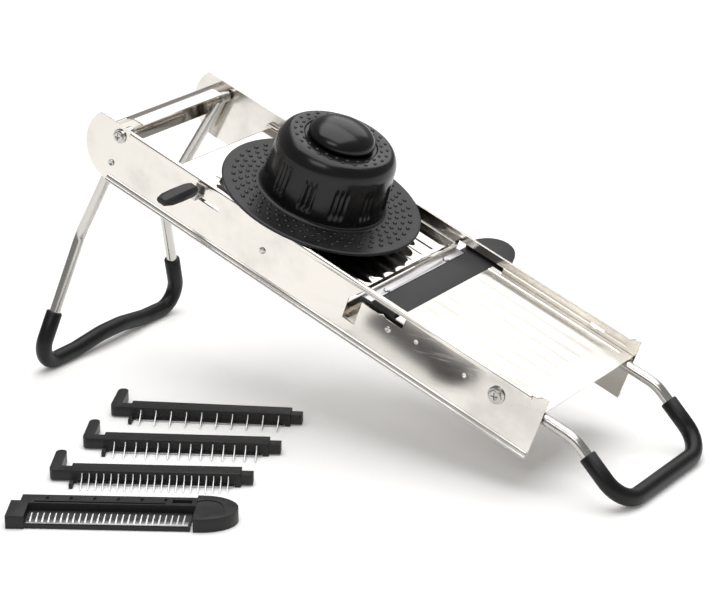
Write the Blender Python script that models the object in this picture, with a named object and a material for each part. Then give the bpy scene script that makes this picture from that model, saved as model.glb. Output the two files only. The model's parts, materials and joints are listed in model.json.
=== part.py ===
# Mandoline slicer on two folding wire legs, with its hand guard, blade carrier,
# three julienne combs and a spare comb holder. Metres, +Z up, standing on z = 0.
#
# The body is modelled lying flat in its own frame: X runs from the high end (0)
# to the low end, Y across, Z square to the plates with 0 at the rails' top edge.
# body_frame then tilts it to the working slope.

import math

import bmesh
import bpy
from mathutils import Matrix, Vector

# Body
BODY_LENGTH = 0.400
BODY_WIDTH = 0.128
RAIL_HEIGHT = 0.045
RAIL_SHEET = 0.0012
BODY_SLOPE = math.radians(20.63)
LOW_END_HEIGHT = 0.0665
EAR_RADIUS = 0.027
HEM_HEIGHT = 0.0042
HEM_DEPTH = 0.0016
HEM_START = 0.037
BEAD_HEIGHT = 0.005
BEAD_DEPTH = 0.0026
BEAD_STEP = 0.0012
STOP_LENGTH = 0.0085
STOP_HEIGHT = 0.0034
GAP = 0.0003
CLEARANCE = 0.0005

# Plates
PLATE_DEPTH = 0.0094
PLATE_SHEET = 0.0010
RIB_PITCH = 0.0135
RIB_HEIGHT = 0.0009
RIB_FLAT_END = 0.015
RAMP_HINGE = 0.075
HINGE_ROD_RADIUS = 0.0016
HINGE_EYE_RADIUS = 0.0032
RAMP_END = 0.242
RAMP_LIP = 0.003
RAMP_TRAVEL = math.radians(3.0)
BRACKET_LENGTH = 0.010
BRACKET_THICKNESS = 0.0036
LANDING_START = 0.2765
LANDING_INSET = 0.0015
LANDING_FLANGE = 0.0110

# Blade, carrier and the seats under them
BLADE_START = 0.2455
BLADE_WIDTH = 0.0085
BLADE_THICKNESS = 0.0009
CARRIER_START = 0.2495
CARRIER_WIDTH = 0.0345
CARRIER_THICKNESS = 0.0040
CARRIER_GRIP_LENGTH = 0.030
CARRIER_GRIP_THICKNESS = 0.0080
SEAT_SHEET = 0.0010
COMB_SLOT_START = 0.239
COMB_SLOT_WIDTH = 0.0105
COMB_SLOT_DEPTH = 0.0314
NOTCH_END = 0.284
NOTCH_DEPTH = 0.0129
MID_BRACE = 0.165
MID_BRACE_WIDTH = 0.014
MID_BRACE_RIVET = -0.0222
RIVET_RADIUS = 0.0024

# Head bridge between the ears
BRIDGE_RADIUS = 0.0176
BRIDGE_LOWER_ANGLE = math.radians(230.0)
BRIDGE_FLANGE = 0.0055
BRIDGE_CORNER = 0.016

# Thickness lever under the ramp
LEVER_STATION = 0.101
LEVER_DEPTH = 0.0140
LEVER_ARM_WIDTH = 0.008
LEVER_ARM_SHEET = 0.0014
LEVER_TRAVEL = math.radians(14.0)
LEVER_JOGGLE_START = 0.0040
LEVER_JOGGLE_RISE = 0.0074
LEVER_GRIP_LENGTH = 0.035
LEVER_GRIP_WIDTH = 0.012
LEVER_GRIP_HEIGHT = 0.0080
LEVER_PIN_RADIUS = 0.0022
LEVER_CAM_RADIUS = 0.045
LEVER_CAM_HEIGHT = 0.0008

# Legs
WIRE_RADIUS = 0.0040
SLEEVE_RADIUS = 0.0062
WIRE_SIDES = 12
LEG_PIVOT = (0.0288, -0.0080)
LEG_KNEE = (0.0100, -0.1077)
LEG_KNEE_INSET = 0.0082
LEG_FOOT_STATION = 0.0290
LEG_FOOT_SPREAD = 0.0220
LEG_ARCH = 0.0045
LEG_SLEEVE_HEIGHT = 0.044
DETENT = (0.0279, -0.0308)
FOOT_PIVOT_INSET = 0.0355
FOOT_STRAIGHT = 0.0240
FOOT_REACH = 0.0722
FOOT_SLEEVE_START = 0.0360
PIVOT_EYE_MARGIN = 0.0004
PIVOT_PIN_RADIUS = 0.0017
BOLT_HEAD_RADIUS = 0.0063
BOLT_HEAD_HEIGHT = 0.0030

# Hand guard and plunger
GUARD_STATION = 0.162
BRIM_OVERHANG = 0.009
BRIM_THICKNESS = 0.0026
CUP_BASE_RADIUS = 0.0452
CUP_TOP_RADIUS = 0.0432
CUP_RING_RADIUS = 0.0356
CUP_SHOULDER = 0.0115
CUP_HEIGHT = 0.0490
CUP_WALL = 0.0024
RUNNER_DEPTH = 0.0070
RUNNER_LENGTH = 0.100
RUNNER_THICKNESS = 0.0018
STEM_RADIUS = 0.0045
KNOB_RADIUS = 0.0240
KNOB_HEIGHT = 0.0130
GRIPPER_RADIUS = 0.0350
GRIPPER_THICKNESS = 0.0030
GRIPPER_HEIGHT = 0.0060
PRONG_COUNT = 10
PRONG_LENGTH = 0.0110
PRONG_RADIUS = 0.0014

# Loose combs and the comb holder beside the body
COMB_LENGTH = 0.114
COMB_HEIGHT = 0.0095
COMB_WIDTH = 0.0125
COMB_TOOTH_REACH = 0.0110
COMB_TOOTH_THICKNESS = 0.0007
COMB_STRIP = 0.0009
COMB_NECK = 0.015
COMB_HANDLE = 0.0075
COMB_HANDLE_LENGTH = 0.034
COMB_STUB = 0.008
COMBS = (
    ("coarse", 10, (-0.1226, -0.1125), 27.6),
    ("medium", 14, (-0.1026, -0.1671), 29.9),
    ("fine", 21, (-0.0873, -0.2204), 30.8),
)
HOLDER_ORIGIN = (-0.0682, -0.2916)
HOLDER_ANGLE = 31.2
HOLDER_LENGTH = 0.108
HOLDER_WIDTH = 0.034
HOLDER_HEIGHT = 0.0085
HOLDER_FLOOR = 0.0030
HOLDER_RAIL = 0.013
HOLDER_BLOCK = 0.011
HOLDER_TOOTH_COUNT = 26
HOLDER_TOOTH_LENGTH = 0.0085

# Finishes: base colour, metallic, roughness
FINISHES = {
    "polished_steel": ((0.83, 0.81, 0.77), 1.0, 0.12),
    "satin_steel": ((0.62, 0.60, 0.58), 1.0, 0.32),
    "charcoal_plastic": ((0.020, 0.020, 0.021), 0.0, 0.38),
    "black_rubber": ((0.012, 0.012, 0.012), 0.0, 0.60),
}

HALF_INNER = BODY_WIDTH / 2 - RAIL_SHEET
HALF_PLATE = HALF_INNER - CLEARANCE - 0.001
WIRE_SIDE = HALF_INNER - WIRE_RADIUS - 0.0023
PLATE_BOTTOM = -PLATE_DEPTH - PLATE_SHEET
CARRIER_TOP = PLATE_BOTTOM - GAP
CARRIER_BOTTOM = CARRIER_TOP - CARRIER_THICKNESS
SLEEVE_FLAT = SLEEVE_RADIUS * math.cos(math.pi / WIRE_SIDES)
HINGE_DEPTH = -PLATE_DEPTH - HINGE_EYE_RADIUS - 0.0002
CARRIER_GRIP_TOP = CARRIER_BOTTOM + CARRIER_GRIP_THICKNESS
SEAT_BOTTOM = CARRIER_BOTTOM - GAP - SEAT_SHEET
SEAT_RIVET = (CARRIER_START + 0.025, SEAT_BOTTOM - 0.0032)
BLADE_SCREW_STATION = BLADE_START + BLADE_WIDTH * 0.72
BLADE_SCREWS = (-HALF_INNER * 0.6, HALF_INNER * 0.6)
LEVER_REACH = BODY_WIDTH / 2
PIVOT_EYE_RADIUS = WIRE_RADIUS + PIVOT_EYE_MARGIN
FOOT_PIVOT_DEPTH = PLATE_DEPTH + PLATE_SHEET + GAP + PIVOT_EYE_RADIUS
FOOT_PIVOT = (BODY_LENGTH - FOOT_PIVOT_INSET, -FOOT_PIVOT_DEPTH)


# ---------------------------------------------------------------- helpers

def clear_scene():
    for item in list(bpy.data.objects):
        bpy.data.objects.remove(item, do_unlink=True)


def make_finish(name):
    colour, metallic, roughness = FINISHES[name]
    material = bpy.data.materials.new(name)
    material.use_nodes = True
    shader = material.node_tree.nodes["Principled BSDF"]
    shader.inputs["Base Color"].default_value = (*colour, 1.0)
    shader.inputs["Metallic"].default_value = metallic
    shader.inputs["Roughness"].default_value = roughness
    return material


def add_object(name, vertices, faces, finish=None):
    mesh = bpy.data.meshes.new(name)
    mesh.from_pydata([tuple(vertex) for vertex in vertices], [], faces)
    work = bmesh.new()
    work.from_mesh(mesh)
    bmesh.ops.recalc_face_normals(work, faces=work.faces)
    work.to_mesh(mesh)
    work.free()
    thing = bpy.data.objects.new(name, mesh)
    bpy.context.scene.collection.objects.link(thing)
    if finish:
        mesh.materials.append(finish)
    return thing


def shade(thing, angle=35.0):
    thing.data.shade_smooth()
    thing.data.set_sharp_from_angle(angle=math.radians(angle))
    return thing


def loft(name, rings, finish=None, closed=False):
    # Skins rings of equal length; the ends are capped unless the rings close on themselves.
    count = len(rings[0])
    vertices = [point for ring in rings for point in ring]
    faces = []
    spans = len(rings) if closed else len(rings) - 1
    for index in range(spans):
        here = index * count
        there = (index + 1) % len(rings) * count
        for side in range(count):
            after = (side + 1) % count
            faces.append((here + side, here + after, there + after, there + side))
    if not closed:
        faces.append(tuple(range(count)))
        faces.append(tuple(range(len(vertices) - count, len(vertices))))
    return add_object(name, vertices, faces, finish)


def prism(name, outline, low, high, axis, finish=None):
    # Extrudes a flat outline along one axis; the outline gives the other two in X, Y, Z order.
    def point(pair, along):
        values = list(pair)
        values.insert("XYZ".index(axis), along)
        return values
    return loft(name, [[point(pair, low) for pair in outline], [point(pair, high) for pair in outline]],
                finish)


def box(name, low, high, finish=None):
    outline = [(low[0], low[1]), (high[0], low[1]), (high[0], high[1]), (low[0], high[1])]
    return prism(name, outline, low[2], high[2], "Z", finish)


def circle_points(centre, radius, sides, start=0.0):
    return [(centre[0] + radius * math.cos(start + math.tau * step / sides),
             centre[1] + radius * math.sin(start + math.tau * step / sides)) for step in range(sides)]


def arc_points(centre, radius, start, end, steps):
    return [(centre[0] + radius * math.cos(start + (end - start) * step / steps),
             centre[1] + radius * math.sin(start + (end - start) * step / steps)) for step in range(steps + 1)]


def lathe(name, profile, sides, finish=None, ring=False):
    # Turns (radius, height) pairs about Z. Ends on the axis close at a point; a ring profile closes on itself.
    vertices = []
    rows = []
    for radius, height in profile:
        if radius == 0.0:
            rows.append([len(vertices)] * sides)
            vertices.append((0.0, 0.0, height))
            continue
        rows.append(list(range(len(vertices), len(vertices) + sides)))
        vertices += [(x, y, height) for x, y in circle_points((0.0, 0.0), radius, sides)]
    pairs = list(zip(rows, rows[1:]))
    if ring:
        pairs.append((rows[-1], rows[0]))
    faces = []
    for lower, upper in pairs:
        for side in range(sides):
            after = (side + 1) % sides
            corners = [lower[side], lower[after], upper[after], upper[side]]
            faces.append(tuple(dict.fromkeys(corners)))
    return shade(add_object(name, vertices, faces, finish))


def turn_to(thing, axis, place):
    # Lays a turned piece's Z axis along another axis and moves it to its place.
    turn = Vector((0.0, 0.0, 1.0)).rotation_difference(Vector(axis)).to_matrix().to_4x4()
    thing.data.transform(Matrix.Translation(Vector(place)) @ turn)
    return thing


def rod(name, start, end, radius, sides, finish=None):
    span = Vector(end) - Vector(start)
    profile = [(0.0, 0.0), (radius, 0.0), (radius, span.length), (0.0, span.length)]
    return turn_to(lathe(name, profile, sides, finish), span.normalized(), start)


def combine(target, tools, operation):
    # Joins or cuts with closed tool bodies, then keeps only the finished mesh.
    for tool in tools:
        tool.hide_render = True
        tool.display_type = "WIRE"
        change = target.modifiers.new(operation.title(), "BOOLEAN")
        change.operation = operation
        change.object = tool
    bpy.context.view_layer.update()
    evaluated = target.evaluated_get(bpy.context.evaluated_depsgraph_get())
    finished = bpy.data.meshes.new_from_object(evaluated)
    target.modifiers.clear()
    target.data = finished
    for tool in tools:
        bpy.data.objects.remove(tool, do_unlink=True)
    return target


def fillet_path(corners, radii, step=math.radians(15.0)):
    # Rounds the corners of an open path with arcs.
    path = [Vector(corners[0])]
    for before, corner, after, radius in zip(corners, corners[1:], corners[2:], radii):
        corner = Vector(corner)
        inward = (Vector(before) - corner).normalized()
        outward = (Vector(after) - corner).normalized()
        half = inward.angle(outward) / 2
        centre = corner + (inward + outward).normalized() * (radius / math.sin(half))
        first = corner + inward * (radius / math.tan(half)) - centre
        last = corner + outward * (radius / math.tan(half)) - centre
        steps = max(2, round((math.pi - 2 * half) / step))
        axis = first.cross(last).normalized()
        for index in range(steps + 1):
            turned = Matrix.Rotation(first.angle(last) * index / steps, 3, axis) @ first
            path.append(centre + turned)
    path.append(Vector(corners[-1]))
    return path


def path_frames(path, up):
    # Carries one cross direction along the path, starting flat at its middle point.
    tangents = []
    for index in range(len(path)):
        before = path[max(index - 1, 0)]
        after = path[min(index + 1, len(path) - 1)]
        tangents.append((after - before).normalized())
    middle = len(path) // 2
    normals = [None] * len(path)
    normals[middle] = (up - tangents[middle] * up.dot(tangents[middle])).normalized()
    for order in (range(middle + 1, len(path)), range(middle - 1, -1, -1)):
        previous = middle
        for index in order:
            turn = tangents[previous].rotation_difference(tangents[index])
            normals[index] = turn @ normals[previous]
            previous = index
    return list(zip(path, tangents, normals))


def ring_on(frame, radius, sides):
    centre, tangent, normal = frame
    side = tangent.cross(normal)
    angles = [math.tau * (step + 0.5) / sides for step in range(sides)]
    return [centre + normal * (radius * math.cos(angle)) + side * (radius * math.sin(angle))
            for angle in angles]


def wire(name, frames, finish):
    return shade(loft(name, [ring_on(frame, WIRE_RADIUS, WIRE_SIDES) for frame in frames], finish))


def sleeve(name, frames, finish):
    outer = [ring_on(frame, SLEEVE_RADIUS, WIRE_SIDES) for frame in frames]
    inner = [ring_on(frame, WIRE_RADIUS + GAP, WIRE_SIDES) for frame in frames]
    return shade(loft(name, outer + inner[::-1], finish, closed=True))


def body_depth(station, height):
    # Depth in the body's frame of a point at this station and height over the floor.
    rail_top = LOW_END_HEIGHT + (BODY_LENGTH - station) * math.sin(BODY_SLOPE)
    return (height - rail_top) / math.cos(BODY_SLOPE)


def pivot_at(name, place, frame):
    marker = bpy.data.objects.new(name, None)
    bpy.context.scene.collection.objects.link(marker)
    marker.empty_display_size = 0.01
    marker.location = place
    marker.parent = frame
    return marker


def hang(things, marker):
    # Pieces keep their body coordinates while their parent sits on the joint's axis.
    for thing in things:
        thing.parent = marker
        thing.location = -marker.location


# ---------------------------------------------------------------- fixed body

def side_rail(name, side, steel):
    outer = BODY_WIDTH / 2
    ear = (EAR_RADIUS + 0.001, EAR_RADIUS - RAIL_HEIGHT)
    top_angle = math.pi - math.asin(-ear[1] / EAR_RADIUS)
    outline = arc_points(ear, EAR_RADIUS, top_angle, 1.5 * math.pi, 14)
    outline += [(BODY_LENGTH, -RAIL_HEIGHT), (BODY_LENGTH, 0.0)]
    low, high = sorted((side * HALF_INNER, side * outer))
    rail = prism(name, outline, low, high, "Y", steel)

    def strip(label, depth, start, bottom, top):
        low_side, high_side = sorted((side * (outer - RAIL_SHEET / 2), side * (outer + depth)))
        end = BODY_LENGTH - (STOP_LENGTH + 0.003 if label == "hem" else 0.0)
        return box(label, (start, low_side, bottom), (end, high_side, top))

    extras = [
        strip("hem", HEM_DEPTH, HEM_START, -HEM_HEIGHT, 0.0),
        strip("stop", 0.0, BODY_LENGTH - STOP_LENGTH, -0.006, STOP_HEIGHT),
        strip("bead", BEAD_DEPTH, ear[0], -RAIL_HEIGHT, BEAD_STEP - RAIL_HEIGHT + BEAD_HEIGHT / 2),
        strip("bead_step", BEAD_STEP, ear[0], -RAIL_HEIGHT + BEAD_HEIGHT / 2, BEAD_HEIGHT - RAIL_HEIGHT),
    ]
    for extra in extras:
        combine(rail, [extra], "UNION")
    wide = outer + 2 * BEAD_DEPTH

    def hole(station, depth, radius):
        return rod("hole", (station, side * 0.05, depth), (station, side * wide, depth), radius, 18)

    holes = [
        hole(*LEG_PIVOT, PIVOT_PIN_RADIUS + GAP),
        hole(*FOOT_PIVOT, PIVOT_PIN_RADIUS + GAP),
        hole(DETENT[0], DETENT[1], PIVOT_PIN_RADIUS + GAP),
        hole(MID_BRACE, MID_BRACE_RIVET, PIVOT_PIN_RADIUS + GAP),
        hole(*SEAT_RIVET, PIVOT_PIN_RADIUS + GAP),
    ]
    slot_floor = -COMB_SLOT_DEPTH
    slot_end = COMB_SLOT_START + COMB_SLOT_WIDTH
    if side < 0:
        notch = [
            (COMB_SLOT_START, -0.0154), (slot_end - 0.0012, -HEM_HEIGHT), (NOTCH_END, -HEM_HEIGHT),
            (NOTCH_END, -NOTCH_DEPTH), (slot_end, -NOTCH_DEPTH), (slot_end, slot_floor),
            (COMB_SLOT_START, slot_floor),
        ]
        holes.append(prism("notch", notch, -wide, -0.05, "Y"))
        sweep = LEVER_REACH * math.tan(LEVER_TRAVEL)
        low_corner = (LEVER_STATION - LEVER_ARM_WIDTH / 2 - CLEARANCE, -wide,
                      -LEVER_DEPTH - LEVER_ARM_SHEET - CLEARANCE)
        high_corner = (LEVER_STATION + LEVER_ARM_WIDTH / 2 + sweep + 3 * CLEARANCE, -0.05,
                       -LEVER_DEPTH + CLEARANCE)
        holes.append(box("lever_slot", low_corner, high_corner))
    else:
        carrier_end = CARRIER_START + CARRIER_WIDTH
        low_corner = (BLADE_START - CLEARANCE, 0.05, CARRIER_BOTTOM - CLEARANCE)
        high_corner = (carrier_end + CLEARANCE, wide, CARRIER_GRIP_TOP + CLEARANCE)
        holes.append(box("carrier_window", low_corner, high_corner))
        holes.append(box("comb_window", (COMB_SLOT_START, 0.05, slot_floor),
                         (slot_end, wide, slot_floor + 0.010)))
        holes.append(box("guard_stop_hole", (0.360, 0.05, -0.0070), (0.372, wide - BEAD_DEPTH, -0.0045)))
    for cutter in holes:
        combine(rail, [cutter], "DIFFERENCE")
    return rail


def head_bridge(steel):
    # Curved sheet between the ears, open to the low end, with a top flange cut back beside the legs.
    centre = (EAR_RADIUS + 0.001, EAR_RADIUS - RAIL_HEIGHT)
    half = HALF_INNER - GAP
    outside = [(centre[0] + BRIDGE_FLANGE, centre[1] + BRIDGE_RADIUS)]
    outside += arc_points(centre, BRIDGE_RADIUS, math.pi / 2, BRIDGE_LOWER_ANGLE, 12)
    inner = BRIDGE_RADIUS - RAIL_SHEET
    inside = arc_points(centre, inner, BRIDGE_LOWER_ANGLE, math.pi / 2, 12)
    inside.append((centre[0] + BRIDGE_FLANGE, centre[1] + inner))
    bridge = prism("head_bridge", outside + inside, -half, half, "Y", steel)
    corners = []
    for side in (-1, 1):
        low, high = sorted((side * (half - BRIDGE_CORNER), side * (half + 0.01)))
        corners.append(box("corner", (LEG_PIVOT[0] - 0.0095, low, -0.02), (0.06, high, 0.01)))
    for corner in corners:
        combine(bridge, [corner], "DIFFERENCE")
    return shade(bridge)


def through_rivet(name, side, station, depth, inside, head_radius, head_height, finish):
    # Headed pin from outside the rail, ending at the given distance from the middle.
    surface = BODY_WIDTH / 2 + GAP
    length = surface - inside
    profile = [
        (0.0, 0.0), (PIVOT_PIN_RADIUS, 0.0), (PIVOT_PIN_RADIUS, length), (head_radius, length),
        (head_radius, length + head_height * 0.55), (head_radius * 0.72, length + head_height),
        (0.0, length + head_height),
    ]
    pin = lathe(name, profile, 16, finish)
    return turn_to(pin, (0.0, side, 0.0), (station, side * inside, depth))


def cross_sheet(name, start, end, bottom, sheet, tab, tab_up, steel):
    # Sheet from rail to rail with a turned tab at each end.
    half = HALF_INNER - GAP
    top = bottom + sheet
    if tab_up:
        outline = [(-half, top + tab), (-half, bottom), (half, bottom), (half, top + tab),
                   (half - sheet, top + tab), (half - sheet, top), (-half + sheet, top), (-half + sheet,
                                                                                          top + tab)]
    else:
        outline = [(-half, bottom - tab), (-half, top), (half, top), (half, bottom - tab),
                   (half - sheet, bottom - tab), (half - sheet, bottom), (-half + sheet, bottom),
                   (-half + sheet, bottom - tab)]
    return prism(name, outline, start, end, "X", steel)


def rib_profile(half, height):
    # Top line of a ribbed plate: shallow waves between flat margins.
    margin = 0.006
    count = int((2 * (half - margin)) // RIB_PITCH)
    start = -count * RIB_PITCH / 2
    points = [(-half, 0.0)]
    for step in range(count * 4 + 1):
        lift = height * (1 - math.cos(math.tau * step / 4)) / 2
        points.append((start + step * RIB_PITCH / 4, lift))
    points.append((half, 0.0))
    return points


def ribbed_plate(name, stations, half, steel):
    # Stations are (place, rib height); the sheet keeps its thickness under the ribs.
    rings = []
    for station, height in stations:
        top = [(station, y, lift - PLATE_DEPTH) for y, lift in rib_profile(half, height)]
        under = [(station, y, lift - PLATE_DEPTH - PLATE_SHEET) for y,
                 lift in reversed(rib_profile(half, height))]
        rings.append(top + under)
    return loft(name, rings, steel)


def landing_plate(steel):
    half = HALF_INNER - GAP
    end = BODY_LENGTH - LANDING_INSET
    fade = end - RIB_FLAT_END
    plate = ribbed_plate("landing_plate", [(LANDING_START, RIB_HEIGHT), (fade - 0.008, RIB_HEIGHT),
                                           (fade, 0.0),
                                           (end, 0.0)], half, steel)
    flange_start = CARRIER_START + CARRIER_WIDTH + 0.006
    for side in (-1, 1):
        low, high = sorted((side * (half - PLATE_SHEET), side * half))
        flange = box("flange", (flange_start, low, PLATE_BOTTOM - LANDING_FLANGE + PLATE_SHEET),
                     (end, high, PLATE_BOTTOM + PLATE_SHEET / 2))
        combine(plate, [flange], "UNION")
        hole = rod("hole", (FOOT_PIVOT[0], side * 0.05, FOOT_PIVOT[1]),
                   (FOOT_PIVOT[0], side * 0.08, FOOT_PIVOT[1]),
                   PIVOT_PIN_RADIUS + GAP, 16)
        combine(plate, [hole], "DIFFERENCE")
    return plate


def hinge_bracket(name, side, steel):
    low, high = sorted((side * (HALF_INNER - GAP - BRACKET_THICKNESS), side * (HALF_INNER - GAP)))
    start = RAMP_HINGE - BRACKET_LENGTH / 2
    bracket = box(name, (start, low, HINGE_DEPTH - 0.005), (start + BRACKET_LENGTH, high,
                                                            HINGE_DEPTH + 0.0045), steel)
    hole = rod("hole", (RAMP_HINGE, low - 0.01, HINGE_DEPTH), (RAMP_HINGE, high + 0.01, HINGE_DEPTH),
               HINGE_ROD_RADIUS + GAP, 16)
    return combine(bracket, [hole], "DIFFERENCE")


def comb_channel(steel):
    # Upward-facing trough that takes a julienne comb under the gap before the blade.
    outer_start = COMB_SLOT_START - SEAT_SHEET - GAP
    outer_end = COMB_SLOT_START + COMB_SLOT_WIDTH + SEAT_SHEET + GAP
    floor_top = -COMB_SLOT_DEPTH
    floor = floor_top - SEAT_SHEET
    ramp_low = PLATE_BOTTOM - math.tan(RAMP_TRAVEL) * (COMB_SLOT_START - RAMP_HINGE) - 0.0015
    rear_top = CARRIER_BOTTOM - SEAT_SHEET - 2 * GAP - 0.0015
    outline = [
        (outer_start, floor), (outer_end, floor), (outer_end, rear_top), (outer_end - SEAT_SHEET, rear_top),
        (outer_end - SEAT_SHEET, floor_top), (outer_start + SEAT_SHEET, floor_top),
        (outer_start + SEAT_SHEET, ramp_low), (outer_start, ramp_low),
    ]
    half = HALF_INNER - GAP
    return prism("comb_channel", outline, -half, half, "Y", steel)


# ---------------------------------------------------------------- moving parts of the body

def feed_ramp(steel):
    plate = ribbed_plate("feed_ramp", [(RAMP_HINGE - 0.0007, 0.0), (RAMP_HINGE + 0.010, 0.0),
                                       (RAMP_HINGE + 0.016, RIB_HEIGHT),
                                       (RAMP_END, RIB_HEIGHT)], HALF_PLATE, steel)
    eye_half = HALF_INNER - 2 * GAP - BRACKET_THICKNESS - 0.0005
    eye = rod("eye", (RAMP_HINGE, -eye_half, HINGE_DEPTH), (RAMP_HINGE, eye_half, HINGE_DEPTH),
              HINGE_EYE_RADIUS, 20)
    lip = box("lip", (RAMP_END - PLATE_SHEET, -HALF_PLATE + 0.002, PLATE_BOTTOM - RAMP_LIP),
              (RAMP_END, HALF_PLATE - 0.002, -PLATE_DEPTH - PLATE_SHEET / 2))
    combine(plate, [lip], "UNION")
    for side in (-1, 1):
        low, high = sorted((side * eye_half, side * (HALF_PLATE + 0.01)))
        corner = box("corner", (RAMP_HINGE - 0.02, low, -0.03),
                     (RAMP_HINGE + BRACKET_LENGTH / 2 + 0.001, high, 0.01))
        combine(plate, [corner], "DIFFERENCE")
    combine(plate, [eye], "UNION")
    bore = rod("bore", (RAMP_HINGE, -eye_half - 0.01, HINGE_DEPTH),
               (RAMP_HINGE, eye_half + 0.01, HINGE_DEPTH),
               HINGE_ROD_RADIUS + GAP, 16)
    return combine(plate, [bore], "DIFFERENCE")


def ramp_follower(steel):
    # Wedge under the ramp: as the lever's cam moves down the slope, the ramp can drop.
    top = PLATE_BOTTOM - GAP
    low = -LEVER_DEPTH + LEVER_CAM_HEIGHT + 2 * GAP
    slope_start = LEVER_STATION + 0.0012
    slope_end = slope_start + (top - 0.0003 - low) / 0.2
    outline = [(LEVER_STATION - 0.005, top), (LEVER_STATION - 0.005, low), (slope_start, low),
               (slope_end, top - 0.0003), (slope_end, top)]
    return prism("ramp_follower", outline, -LEVER_CAM_RADIUS - 0.004, -LEVER_CAM_RADIUS + 0.004, "Y", steel)


def lever_arm(steel):
    # Strip from its pivot out through the near rail, where it steps up into the grip.
    half = LEVER_ARM_WIDTH / 2
    sheet = LEVER_ARM_SHEET
    step = -(LEVER_REACH + LEVER_JOGGLE_START)
    outline = arc_points((LEVER_STATION, 0.0), half, 0.0, math.pi, 10)
    outline += [(LEVER_STATION - half, step + sheet / 2), (LEVER_STATION + half, step + sheet / 2)]
    arm = prism("thickness_lever_arm", outline, -LEVER_DEPTH - sheet, -LEVER_DEPTH, "Z", steel)
    low = -LEVER_DEPTH - sheet
    high = -LEVER_DEPTH + LEVER_JOGGLE_RISE
    tip = step - sheet - LEVER_GRIP_LENGTH * 0.7
    joggle = [(step + sheet, low), (step + sheet, -LEVER_DEPTH), (step, -LEVER_DEPTH), (step, high),
              (tip, high), (tip, high - sheet), (step - sheet, high - sheet), (step - sheet, low)]
    combine(arm, [prism("joggle", joggle, LEVER_STATION - half, LEVER_STATION + half, "X")], "UNION")
    cam = lathe("cam", [(0.0, -0.0008), (0.0010, -0.0008), (0.0010, LEVER_CAM_HEIGHT - 0.0002),
                        (0.0007, LEVER_CAM_HEIGHT), (0.0, LEVER_CAM_HEIGHT)], 10)
    combine(arm, [turn_to(cam, (0, 0, 1), (LEVER_STATION, -LEVER_CAM_RADIUS, -LEVER_DEPTH))], "UNION")
    bore = rod("bore", (LEVER_STATION, 0.0, -LEVER_DEPTH - 0.005), (LEVER_STATION, 0.0, -LEVER_DEPTH + 0.005),
               LEVER_PIN_RADIUS + GAP, 16)
    return combine(arm, [bore], "DIFFERENCE")


def lever_grip(plastic):
    # Tapered paddle moulded over the end of the arm.
    root = -(LEVER_REACH + LEVER_JOGGLE_START + LEVER_ARM_SHEET + GAP)
    end = root - LEVER_GRIP_LENGTH
    plate_top = -LEVER_DEPTH + LEVER_JOGGLE_RISE
    middle = plate_top - LEVER_ARM_SHEET / 2
    wide = LEVER_GRIP_WIDTH / 2
    tall = LEVER_GRIP_HEIGHT / 2
    rings = []
    for along, width, height in ((root, 0.80, 0.80), (root - 0.004, 0.95, 1.0), (root - 0.018, 1.0, 0.96),
                                 (end + 0.006, 0.96, 0.80), (end, 0.72, 0.56)):
        w, h = wide * width, tall * height
        ring = [(w, -h * 0.5), (w, h * 0.4), (w * 0.5, h), (-w * 0.5, h), (-w, h * 0.4), (-w, -h * 0.5),
                (-w * 0.6, -h), (w * 0.6, -h)]
        rings.append([(LEVER_STATION + x, along, middle + z) for x, z in ring])
    grip = loft("thickness_lever_grip", rings, plastic)
    half = LEVER_ARM_WIDTH / 2 + GAP
    pocket = box("pocket", (LEVER_STATION - half, root - LEVER_GRIP_LENGTH * 0.7 - GAP,
                            plate_top - LEVER_ARM_SHEET - GAP),
                 (LEVER_STATION + half, root + 0.01, plate_top + GAP))
    return combine(grip, [pocket], "DIFFERENCE")


def blade_carrier(plastic):
    end = CARRIER_START + CARRIER_WIDTH
    near = -HALF_INNER + 0.0015
    far = BODY_WIDTH / 2 + 0.003
    carrier = box("blade_carrier", (CARRIER_START, near, CARRIER_BOTTOM), (end, far + 0.004, CARRIER_TOP),
                  plastic)
    shelf = box("shelf", (CARRIER_START - 0.0035, near, CARRIER_BOTTOM),
                (CARRIER_START + 0.001, HALF_INNER - 0.003, CARRIER_TOP - BLADE_THICKNESS))
    combine(carrier, [shelf], "UNION")
    block = box("block", (CARRIER_START + 0.0065, near, CARRIER_BOTTOM),
                (LANDING_START - 0.002, near + 0.008, -RUNNER_DEPTH - CLEARANCE))
    combine(carrier, [block], "UNION")
    centre = ((CARRIER_START + end) / 2, far)
    half = CARRIER_WIDTH / 2
    outline = [(centre[0] + half * math.cos(angle), far + CARRIER_GRIP_LENGTH * math.sin(angle))
               for angle in [math.pi * step / 14 for step in range(15)]]
    grip = prism("grip", outline, CARRIER_BOTTOM, CARRIER_GRIP_TOP, "Z")
    combine(carrier, [grip], "UNION")
    seat = box("seat", (CARRIER_START - 0.001, near - 0.01, CARRIER_TOP - BLADE_THICKNESS),
               (BLADE_START + BLADE_WIDTH + GAP, HALF_INNER - 0.003, CARRIER_TOP + 0.01))
    combine(carrier, [seat], "DIFFERENCE")
    for place in BLADE_SCREWS:
        bore = rod("bore", (BLADE_SCREW_STATION, place, CARRIER_BOTTOM - 0.005),
                   (BLADE_SCREW_STATION, place, CARRIER_TOP + 0.005), 0.0016, 12)
        combine(carrier, [bore], "DIFFERENCE")
    return carrier


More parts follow.
